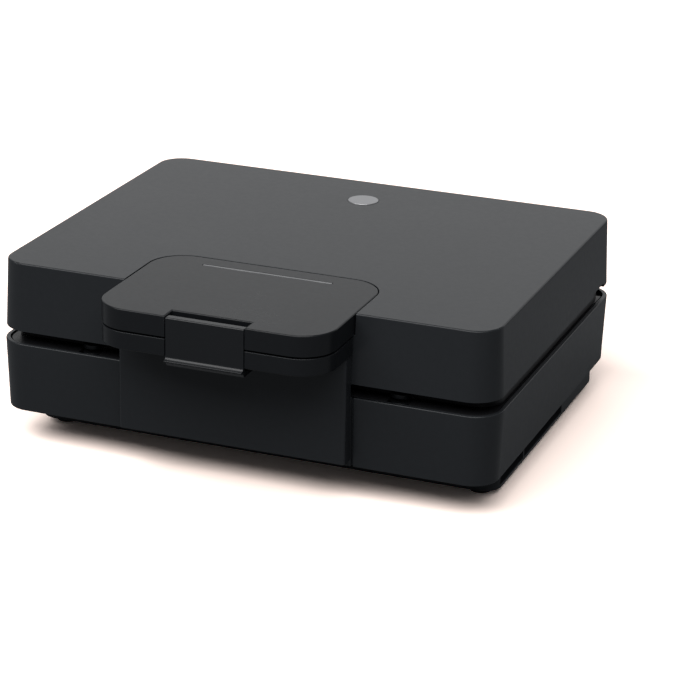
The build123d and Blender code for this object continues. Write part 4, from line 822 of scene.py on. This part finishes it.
def screw_tree():
    """Cross-recessed screws on points: a domed head whose top is at the point, and a shank below it."""
    tree, inside, out = new_geometry_tree("Cross-recessed screws", [
        ("Head radius", "NodeSocketFloat", 3.0 * MM), ("Head height", "NodeSocketFloat", 2.0 * MM),
        ("Shank radius", "NodeSocketFloat", 1.5 * MM), ("Shank length", "NodeSocketFloat", 10.0 * MM),
        ("Recess width", "NodeSocketFloat", 0.7 * MM), ("Recess depth", "NodeSocketFloat", 1.0 * MM),
        ("Turn", "NodeSocketVector", (0.0, 0.0, 0.0)), ("Seed", "NodeSocketInt", 3),
        ("Finish", "NodeSocketMaterial", None)])
    radius, height = inside.outputs["Head radius"], inside.outputs["Head height"]
    rim_share, crown_share, bar_share = 0.45, 0.72, 1.15
    rim = tree.nodes.new("GeometryNodeMeshCylinder")
    rim.inputs["Vertices"].default_value = 32
    tree.links.new(radius, rim.inputs["Radius"])
    tree.links.new(math_node(tree, "MULTIPLY", height, rim_share), rim.inputs["Depth"])
    dome = tree.nodes.new("GeometryNodeExtrudeMesh")
    tree.links.new(rim.outputs["Mesh"], dome.inputs["Mesh"])
    tree.links.new(rim.outputs["Top"], dome.inputs["Selection"])
    tree.links.new(math_node(tree, "MULTIPLY", height, 1.0 - rim_share), dome.inputs["Offset Scale"])
    crown = tree.nodes.new("GeometryNodeScaleElements")
    crown.inputs["Scale"].default_value = crown_share
    tree.links.new(dome.outputs["Mesh"], crown.inputs["Geometry"])
    tree.links.new(dome.outputs["Top"], crown.inputs["Selection"])
    head = raised(tree, crown.outputs["Geometry"], math_node(tree, "MULTIPLY", height, rim_share / 2 - 1.0))
    cut = tree.nodes.new("GeometryNodeMeshBoolean")
    cut.operation = "DIFFERENCE"
    tree.links.new(head, cut.inputs["Mesh 1"])
    length = math_node(tree, "MULTIPLY", radius, bar_share)
    depth = math_node(tree, "MULTIPLY", inside.outputs["Recess depth"], 2.0)
    for size in (vector_of(tree, length, inside.outputs["Recess width"], depth),
                 vector_of(tree, inside.outputs["Recess width"], length, depth)):
        bar = tree.nodes.new("GeometryNodeMeshCube")
        tree.links.new(size, bar.inputs["Size"])
        tree.links.new(bar.outputs["Mesh"], cut.inputs["Mesh 2"])
    shank = tree.nodes.new("GeometryNodeMeshCylinder")
    shank.inputs["Vertices"].default_value = 20
    tree.links.new(inside.outputs["Shank radius"], shank.inputs["Radius"])
    tree.links.new(inside.outputs["Shank length"], shank.inputs["Depth"])
    half_shank = math_node(tree, "MULTIPLY", inside.outputs["Shank length"], 0.5)
    drop = math_node(tree, "MULTIPLY", math_node(tree, "ADD", height, half_shank), -1.0)
    joined = tree.nodes.new("GeometryNodeJoinGeometry")
    for part in (cut.outputs["Mesh"], raised(tree, shank.outputs["Mesh"], drop)):
        tree.links.new(part, joined.inputs["Geometry"])
    spin = tree.nodes.new("FunctionNodeRandomValue")
    spin.data_type = "FLOAT"
    spin.inputs[2].default_value = 0.0
    spin.inputs[3].default_value = pi / 2
    tree.links.new(inside.outputs["Seed"], spin.inputs["Seed"])
    turning = tree.nodes.new("FunctionNodeRotateEuler")
    turning.space = "LOCAL"
    tree.links.new(inside.outputs["Turn"], turning.inputs["Rotation"])
    tree.links.new(vector_of(tree, z=spin.outputs[1]), turning.inputs["Rotate By"])
    scatter = tree.nodes.new("GeometryNodeInstanceOnPoints")
    tree.links.new(inside.outputs["Geometry"], scatter.inputs["Points"])
    tree.links.new(joined.outputs["Geometry"], scatter.inputs["Instance"])
    tree.links.new(turning.outputs["Rotation"], scatter.inputs["Rotation"])
    finish_tree(tree, inside, out, scatter.outputs["Instances"])
    return tree


def tube_tree():
    """A round tube along the input curve, its corners turned by the bend radius, with closed ends."""
    tree, inside, out = new_geometry_tree("Bent tube", [
        ("Tube radius", "NodeSocketFloat", 3.3 * MM), ("Bend radius", "NodeSocketFloat", 15.0 * MM),
        ("Finish", "NodeSocketMaterial", None)])
    rounded = tree.nodes.new("GeometryNodeFilletCurve")
    rounded.mode = "POLY"
    rounded.inputs["Count"].default_value = 14
    tree.links.new(inside.outputs["Geometry"], rounded.inputs["Curve"])
    tree.links.new(inside.outputs["Bend radius"], rounded.inputs["Radius"])
    circle = tree.nodes.new("GeometryNodeCurvePrimitiveCircle")
    circle.inputs["Resolution"].default_value = 28
    tree.links.new(inside.outputs["Tube radius"], circle.inputs["Radius"])
    skin = tree.nodes.new("GeometryNodeCurveToMesh")
    skin.inputs["Fill Caps"].default_value = True
    tree.links.new(rounded.outputs["Curve"], skin.inputs["Curve"])
    tree.links.new(circle.outputs["Curve"], skin.inputs["Profile Curve"])
    finish_tree(tree, inside, out, skin.outputs["Mesh"])
    return tree


def ring_tree():
    """Concentric raised rings on each point, spaced evenly out to the outer radius."""
    tree, inside, out = new_geometry_tree("Concentric rings", [
        ("Outer radius", "NodeSocketFloat", 4.6 * MM), ("Ring count", "NodeSocketInt", 3),
        ("Bead radius", "NodeSocketFloat", 0.35 * MM), ("Finish", "NodeSocketMaterial", None)])
    line = tree.nodes.new("GeometryNodeMeshLine")
    tree.links.new(inside.outputs["Ring count"], line.inputs["Count"])
    line.inputs["Offset"].default_value = (0.0, 0.0, 0.0)
    circle = tree.nodes.new("GeometryNodeCurvePrimitiveCircle")
    circle.inputs["Resolution"].default_value = 40
    circle.inputs["Radius"].default_value = 1.0
    index = tree.nodes.new("GeometryNodeInputIndex")
    share = math_node(tree, "DIVIDE", math_node(tree, "ADD", index.outputs["Index"], 1.0),
                      inside.outputs["Ring count"])
    size = math_node(tree, "MULTIPLY", share, inside.outputs["Outer radius"])
    nested = tree.nodes.new("GeometryNodeInstanceOnPoints")
    tree.links.new(line.outputs["Mesh"], nested.inputs["Points"])
    tree.links.new(circle.outputs["Curve"], nested.inputs["Instance"])
    tree.links.new(vector_of(tree, size, size, 1.0), nested.inputs["Scale"])
    real = tree.nodes.new("GeometryNodeRealizeInstances")
    tree.links.new(nested.outputs["Instances"], real.inputs["Geometry"])
    bead = tree.nodes.new("GeometryNodeCurvePrimitiveCircle")
    bead.inputs["Resolution"].default_value = 8
    tree.links.new(inside.outputs["Bead radius"], bead.inputs["Radius"])
    skin = tree.nodes.new("GeometryNodeCurveToMesh")
    tree.links.new(real.outputs["Geometry"], skin.inputs["Curve"])
    tree.links.new(bead.outputs["Curve"], skin.inputs["Profile Curve"])
    scatter = tree.nodes.new("GeometryNodeInstanceOnPoints")
    tree.links.new(inside.outputs["Geometry"], scatter.inputs["Points"])
    tree.links.new(skin.outputs["Mesh"], scatter.inputs["Instance"])
    finish_tree(tree, inside, out, scatter.outputs["Instances"])
    return tree


def points_mesh(name, places):
    """A mesh of loose points."""
    mesh = bpy.data.meshes.new(name)
    mesh.from_pydata([tuple(place) for place in places], [], [])
    return mesh


def separate_solids(node):
    """Lowest and highest corner of each separate solid in a CAD node."""
    mesh = merged(node)
    left = set(mesh.verts)
    found = []
    while left:
        stack = [left.pop()]
        island = list(stack)
        while stack:
            for edge in stack.pop().link_edges:
                for vertex in edge.verts:
                    if vertex in left:
                        left.remove(vertex)
                        stack.append(vertex)
                        island.append(vertex)
        low = Vector([min(v.co[axis] for v in island) for axis in range(3)])
        high = Vector([max(v.co[axis] for v in island) for axis in range(3)])
        found.append((low, high))
    mesh.free()
    return sorted(found, key=lambda pair: (round(pair[0].x, 4), round(pair[0].y, 4)))


# Operators, one for each piece or group of like pieces


class SANDWICH_OT_casings(bpy.types.Operator):
    """Lid, base, front cover and bottom cover with rounded mould edges"""

    bl_idname = "sandwich.casings"
    bl_label = "Casings"

    def execute(self, context):
        mould = context.scene.sandwich_moulding
        for node in ("lid_shell", "front_cover", "bottom_cover"):
            softened(node, "housing", mould.edge_radius, mould.edge_steps)
        low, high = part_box("base_shell")
        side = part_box("front_cover")[1].x
        half, past = mould.slot_width / 2, MM
        # Each cut passes the shell's front, top and foot
        slots = [(Vector((x - half, low.y - 5 * past, low.z - past)),
                  Vector((x + half, low.y + mould.slot_depth, high.z + past)), mould.slot_lean)
                 for x in (-side - half, side + half)]
        softened("base_shell", "housing", mould.edge_radius, mould.edge_steps, cuts=slots)
        return {"FINISHED"}


class SANDWICH_OT_handles(bpy.types.Operator):
    """Both handle halves and the latch between them"""

    bl_idname = "sandwich.handles"
    bl_label = "Handles and latch"

    def execute(self, context):
        mould = context.scene.sandwich_moulding
        for node in ("upper_handle", "lower_handle"):
            softened(node, "handle", mould.handle_edge, mould.edge_steps)
        self.latch(mould)
        repaint("latch_keeper", "steel")
        repaint("latch_pin", "steel")
        return {"FINISHED"}

    def latch(self, mould):
        """The latch in the CAD's place, its face swept out into the finger lip, its hook under the handle."""
        low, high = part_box("latch")
        # The barrel round the pin and its bore, the front wall and the hook's height
        barrel, bore, wall, hook = 3.7 * MM, 1.6 * MM, 2.8 * MM, 2.6 * MM
        # The finger lip: its reach, its thickness, and the chamfer and the slant under it
        reach, thick, chamfer, slant = 2.5 * MM, 1.2 * MM, 0.4 * MM, 0.3 * MM
        front, brow, fillet = low.y + reach, mould.latch_brow, mould.lip_fillet
        axis = (front + barrel, high.z - barrel)
        lip = low.z + hook
        tip = (front - fillet, lip + thick + fillet)
        outline = arc((front + brow, high.z - brow), brow, 180.0, 90.0, 6)
        outline += arc(axis, barrel, 90.0, -104.0, 24)
        outline += [(front + wall, lip), (high.y, lip), (high.y, low.z), (front + wall / 2, low.z),
                    (front - chamfer, lip - slant), (low.y, lip + chamfer), (low.y, lip + thick)]
        outline += arc(tip, fillet, -90.0, 0.0, 10)
        form = profile_mesh("latch_form", outline, arc(axis, bore, 0.0, 345.0, 23), high.x)
        piece = link("latch_moulding", form)
        round_edges(piece, mould.handle_edge, mould.edge_steps)
        return dress(piece, "latch", body_of("latch"), ("latch",))


class SANDWICH_OT_lid_fittings(bpy.types.Operator):
    """Light bar, the board under it and the bare badge"""

    bl_idname = "sandwich.lid_fittings"
    bl_label = "Light bar and badge"

    def execute(self, context):
        mould = context.scene.sandwich_moulding
        softened("light_bar", "lens", LENS_EDGE, 2)
        softened("badge", "badge", BADGE_EDGE, mould.edge_steps)
        repaint("indicator_board", "board")
        return {"FINISHED"}


class SANDWICH_OT_plates(bpy.types.Operator):
    """Cooking plates, their carriers and the release tabs"""

    bl_idname = "sandwich.plates"
    bl_label = "Plates and carriers"

    def execute(self, context):
        mould = context.scene.sandwich_moulding
        cook = context.scene.sandwich_cooking
        for row in ("lower", "upper"):
            softened(row + "_plate", "coating", cook.plate_edge, mould.edge_steps, row + "_plate_casting")
            softened(row + "_bezel", "carrier", mould.edge_radius, 2)
            for hand in ("left", "right"):
                softened(f"{row}_{hand}_release_tab", "handle", mould.edge_radius, mould.edge_steps)
                self.tab_spring(f"{row}_{hand}_tab_spring", f"{row}_{hand}_release_slide")
        return {"FINISHED"}

    def tab_spring(self, node, joint):
        """A leaf spring: a smoothed steel copy of the CAD node, with a mesh of its own."""
        piece = smooth(node_copy(node, node + "_leaf"))
        dress(piece, "steel", body_of(node), (node,))
        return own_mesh(piece)


class SANDWICH_OT_heating(bpy.types.Operator):
    """Heater tubes, reflectors, thermostat, fuse and terminal block"""

    bl_idname = "sandwich.heating"
    bl_label = "Heating and electrics"

    def execute(self, context):
        tree = tube_tree()
        for row in ("lower", "upper"):
            self.heater_tube(context, row + "_heater", tree)
            repaint(row + "_reflector", "reflector")
        repaint("thermostat", "steel")
        repaint("thermal_fuse", "white")
        repaint("terminal_block", "white")
        return {"FINISHED"}

    def heater_tube(self, context, node, tree):
        """One bent tube: two legs at the rear, and a loop round the plate's cells between them."""
        cook = context.scene.sandwich_cooking
        radius, bend, side = cook.heater_radius, cook.heater_bend, 118.0 * MM
        low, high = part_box(node)
        level = (low.z + high.z) / 2
        reach = high.x - radius
        start = low.y + radius
        end = start + side
        route = [(bend, high.y), (bend, end), (reach, end), (reach, start),
                 (-reach, start), (-reach, end), (-bend, end), (-bend, high.y)]
        line = bpy.data.curves.new(node + "_line", "CURVE")
        line.dimensions = "3D"
        spline = line.splines.new("POLY")
        spline.points.add(len(route) - 1)
        for point, (x, y) in zip(spline.points, route):
            point.co = (x, y, level, 1.0)
        guide = link(node + "_guide", line)
        run_tree(guide, tree, tube_radius=radius, bend_radius=bend, finish=finish("sheath"))
        evaluated = guide.evaluated_get(context.evaluated_depsgraph_get())
        mesh = bpy.data.meshes.new_from_object(evaluated)
        bpy.data.objects.remove(guide)
        if not mesh.polygons:
            raise RuntimeError(f"{node} came out empty")
        return dress(smooth(link(node + "_tube", mesh)), "sheath", body_of(node), (node,))


class SANDWICH_OT_screws(bpy.types.Operator):
    """Every group of cross-recessed screws"""

    bl_idname = "sandwich.screws"
    bl_label = "Screws"

    def execute(self, context):
        fit = context.scene.sandwich_fittings
        tree = screw_tree()
        recess_share = 0.55
        down, rear = (pi, 0.0, 0.0), (-pi / 2, 0.0, 0.0)
        # The group, the way its heads face, and in millimetres the head's radius, its height and the
        # shank's radius
        groups = (("base_screws", down, 3.0, 2.0, 1.5), ("bottom_cover_screws", down, 3.0, 2.0, 1.5),
                  ("upper_handle_screws", down, 3.0, 2.0, 1.5), ("upper_bezel_screws", down, 3.0, 1.4, 1.5),
                  ("front_cover_screws", rear, 3.0, 2.0, 1.5), ("lower_handle_screws", rear, 2.6, 1.2, 1.2))
        for seed, (node, turn, head, height, shank) in enumerate(groups, start=3):
            axis = 2 if turn == down else 1
            places, length = [], 0.0
            for low, high in separate_solids(node):
                middle = (low + high) / 2
                middle[axis] = low[axis] if turn == down else high[axis]
                places.append(middle)
                length = high[axis] - low[axis]
            piece = link(node + "_turned", points_mesh(node + "_points", places))
            grow(piece, tree, head_radius=head * MM, head_height=height * MM, shank_radius=shank * MM,
                 shank_length=length - height * MM, recess_width=fit.recess_width,
                 recess_depth=recess_share * height * MM, turn=turn, seed=seed, finish=finish("steel"))
            if not piece.data.polygons:
                raise RuntimeError(f"{node} came out empty")
            dress(smooth(piece), "steel", body_of(node), (node,))
        return {"FINISHED"}


class SANDWICH_OT_feet(bpy.types.Operator):
    """Rubber feet with ringed soles"""

    bl_idname = "sandwich.feet"
    bl_label = "Feet"

    def execute(self, context):
        fit = context.scene.sandwich_fittings
        tree = ring_tree()
        peg, step, dish, bevel, bead = 2.5 * MM, 4.3 * MM, 0.5 * MM, 0.2 * MM, 0.3 * MM
        for node in ("front_left_foot", "front_right_foot", "rear_left_foot", "rear_right_foot"):
            low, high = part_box(node)
            centre = Vector(((low.x + high.x) / 2, (low.y + high.y) / 2, low.z))
            outer, top = (high.x - low.x) / 2, high.z - low.z
            # The dished sole and its rim, the rounded side, the shoulder, and the peg in the cover
            rings = [(0.0, dish), (outer - 1.6 * MM, dish), (outer - 1.2 * MM, 0.0), (outer - 0.5 * MM, 0.0),
                     (outer - 0.12 * MM, 0.25 * MM), (outer, 0.7 * MM), (outer, step - bevel),
                     (outer - bevel, step), (peg, step), (peg, top), (0.0, top)]
            turned(node + "_rubber", rings, centre, Matrix.Identity(3), "rubber", node)
            middle = points_mesh(node + "_middle", [centre + Vector((0, 0, 0.45 * MM))])
            sole = link(node + "_tread", middle)
            grow(sole, tree, outer_radius=outer - 2.2 * MM, ring_count=fit.tread_rings, bead_radius=bead,
                 finish=finish("rubber"))
            dress(smooth(sole), "rubber", body_of(node))
        return {"FINISHED"}


class SANDWICH_OT_hinges(bpy.types.Operator):
    """Hinge pins and the cord's bush at the rear"""

    bl_idname = "sandwich.hinges"
    bl_label = "Hinge pins and cord bush"

    def execute(self, context):
        pin, thick, taper, rim, dome = 2.0 * MM, 1.2 * MM, 0.4 * MM, 0.5 * MM, 0.6 * MM
        for node, outward in (("left_hinge_pin", -1), ("right_hinge_pin", 1)):
            low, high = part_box(node)
            half, head = (high.x - low.x) / 2, (high.z - low.z) / 2
            # The plain end, the pin, and the head at the outer end
            rings = [(0.0, -half), (pin - taper, -half), (pin, -half + taper), (pin, half - thick),
                     (head, half - thick), (head, half - rim), (head - dome, half), (0.0, half)]
            turn = Matrix.Rotation(outward * pi / 2, 3, "Y")
            turned(node + "_turned", rings, (low + high) / 2, turn, "steel", node)
        self.cord_bush("cord_inlet")
        return {"FINISHED"}

    def cord_bush(self, node):
        """The bush that the cord goes through: a barrel inside, a flange and a grooved end outside."""
        low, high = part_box(node)
        centre = Vector(((low.x + high.x) / 2, low.y, (low.z + high.z) / 2))
        bore, body, flange, reach = 3.4 * MM, 7.0 * MM, (high.x - low.x) / 2, high.y - low.y
        mouth, lip = 0.4 * MM, reach - 4.6 * MM
        rings = [(bore, 0.0), (body - mouth, 0.0), (body, mouth), (body, lip), (flange - 0.3 * MM, lip),
                 (flange, lip + 0.3 * MM), (flange, lip + 1.2 * MM), (flange - 0.4 * MM, lip + 1.6 * MM)]
        # The grooved end, in millimetres: how far each ring lies inside the barrel's radius and past the lip
        grooves = ((0.2, 1.6), (0.5, 2.2), (0.9, 2.2), (0.9, 2.8), (0.7, 2.8), (1.0, 3.6), (1.4, 3.6),
                   (1.4, 4.0), (1.3, 4.0))
        rings += [(body - inward * MM, lip + past * MM) for inward, past in grooves]
        rings += [(body - 1.8 * MM, reach), (bore + mouth, reach), (bore, reach - mouth)]
        turned("cord_inlet_bush", rings, centre, Matrix.Rotation(-pi / 2, 3, "X"), "rubber", node)


class SANDWICH_OT_studio(bpy.types.Operator):
    """Pale floor, soft lights and the camera"""

    bl_idname = "sandwich.studio"
    bl_label = "Studio"

    def execute(self, context):
        scene, studio = context.scene, context.scene.sandwich_studio
        self.floor(studio)
        self.surround(scene, studio)
        middle = Vector((0.0, 0.0, 0.05))
        self.softbox("Front softbox", studio.key_power, 3.6, 1.7, Vector((-0.15, -1.15, 1.8)), middle)
        self.softbox("Rear panel", studio.rear_power, 3.9, 1.3, Vector((-0.3, 2.0, 0.8)), middle)
        self.photo_camera(scene, studio)
        return {"FINISHED"}

    def floor(self, studio):
        """The floor: pale to the camera, and with its own tone where gloss and bounced light meet it."""
        mesh = bpy.data.meshes.new("floor")
        corners = [(x * FLOOR_HALF, y * FLOOR_HALF, 0.0) for x, y in ((-1, -1), (1, -1), (1, 1), (-1, 1))]
        mesh.from_pydata(corners, [], [(0, 1, 2, 3)])
        floor = link("floor", mesh)
        material, tree, shader = surface("Pale floor", specular=0.2)
        path = tree.nodes.new("ShaderNodeLightPath")
        tone = mix_colors(tree, path.outputs["Is Camera Ray"], studio.floor_gloss_color, studio.floor_color)
        tree.links.new(tone, shader.inputs["Base Color"])
        shader.inputs["Roughness"].default_value = 0.9
        mesh.materials.append(material)

    def surround(self, scene, studio):
        """The even surround, with a strength of its own where the camera sees it as the backdrop."""
        world = bpy.data.worlds.new("Studio surround")
        world.use_nodes = True
        sky = world.node_tree
        backdrop = sky.nodes["Background"]
        backdrop.inputs["Color"].default_value = (*studio.sky_color, 1.0)
        seen = sky.nodes.new("ShaderNodeLightPath")
        strength = ramp(sky, seen.outputs["Is Camera Ray"], 0.0, 1.0, studio.sky_strength,
                        studio.backdrop_strength)
        sky.links.new(strength, backdrop.inputs["Strength"])
        scene.world = world
        scene.view_settings.view_transform = "Standard"

    def photo_camera(self, scene, studio):
        """The camera at the photograph's viewing angle."""
        camera = bpy.data.cameras.new("Photo camera")
        camera.lens = studio.lens
        camera.sensor_width = SENSOR_WIDTH
        camera.clip_start = 0.05
        eye = bpy.data.objects.new("Photo camera", camera)
        yaw, pitch, roll = radians(CAMERA_YAW), radians(CAMERA_PITCH), radians(CAMERA_ROLL)
        ahead = Vector((-sin(yaw) * cos(pitch), cos(yaw) * cos(pitch), -sin(pitch)))
        right = Vector((cos(yaw), sin(yaw), 0.0))
        upward = right.cross(ahead)
        across = right * cos(roll) + upward * sin(roll)
        above = upward * cos(roll) - right * sin(roll)
        turn = Matrix((across, above, -ahead)).transposed().to_4x4()
        eye.matrix_world = Matrix.Translation(CAMERA_PLACE) @ turn
        scene.collection.objects.link(eye)
        scene.camera = eye

    def softbox(self, name, power, width, depth, place, target):
        """A wide soft light that shines at the target and isn't seen itself."""
        light = bpy.data.lights.new(name, "AREA")
        light.shape = "RECTANGLE"
        light.size = width
        light.size_y = depth
        light.energy = power
        lamp = bpy.data.objects.new(name, light)
        lamp.location = place
        lamp.rotation_euler = (target - place).to_track_quat("-Z", "Y").to_euler()
        lamp.visible_camera = False
        bpy.context.scene.collection.objects.link(lamp)


class SANDWICH_PT_panel(bpy.types.Panel):
    """Lists the pieces and their settings"""

    bl_idname = "SANDWICH_PT_panel"
    bl_label = "Sandwich maker"
    bl_space_type = "VIEW_3D"
    bl_region_type = "UI"
    bl_category = "Sandwich maker"

    def draw(self, context):
        layout = self.layout
        for settings in (context.scene.sandwich_moulding, context.scene.sandwich_cooking,
                         context.scene.sandwich_fittings, context.scene.sandwich_studio):
            box = layout.box()
            for name in settings.__annotations__:
                box.prop(settings, name)
        for operator in OPERATORS:
            layout.operator(operator.bl_idname)


SETTINGS = (("sandwich_moulding", MouldingSettings), ("sandwich_cooking", CookingSettings),
            ("sandwich_fittings", FittingSettings), ("sandwich_studio", StudioSettings))
OPERATORS = (SANDWICH_OT_casings, SANDWICH_OT_handles, SANDWICH_OT_lid_fittings, SANDWICH_OT_plates,
             SANDWICH_OT_heating, SANDWICH_OT_screws, SANDWICH_OT_feet, SANDWICH_OT_hinges,
             SANDWICH_OT_studio)


def register():
    """Makes the settings, the operators and the panel known."""
    for name, settings in SETTINGS:
        bpy.utils.register_class(settings)
        setattr(bpy.types.Scene, name, PointerProperty(type=settings))
    for operator in OPERATORS:
        bpy.utils.register_class(operator)
    bpy.utils.register_class(SANDWICH_PT_panel)


def unregister():
    """Takes back what register made known."""
    bpy.utils.unregister_class(SANDWICH_PT_panel)
    for operator in reversed(OPERATORS):
        bpy.utils.unregister_class(operator)
    for name, settings in reversed(SETTINGS):
        delattr(bpy.types.Scene, name)
        bpy.utils.unregister_class(settings)


def main():
    """Builds every piece and the studio."""
    register()
    bpy.ops.sandwich.casings()
    bpy.ops.sandwich.handles()
    bpy.ops.sandwich.lid_fittings()
    bpy.ops.sandwich.plates()
    bpy.ops.sandwich.heating()
    bpy.ops.sandwich.screws()
    bpy.ops.sandwich.feet()
    bpy.ops.sandwich.hinges()
    bpy.ops.sandwich.studio()


if __name__ == "__main__":
    main()
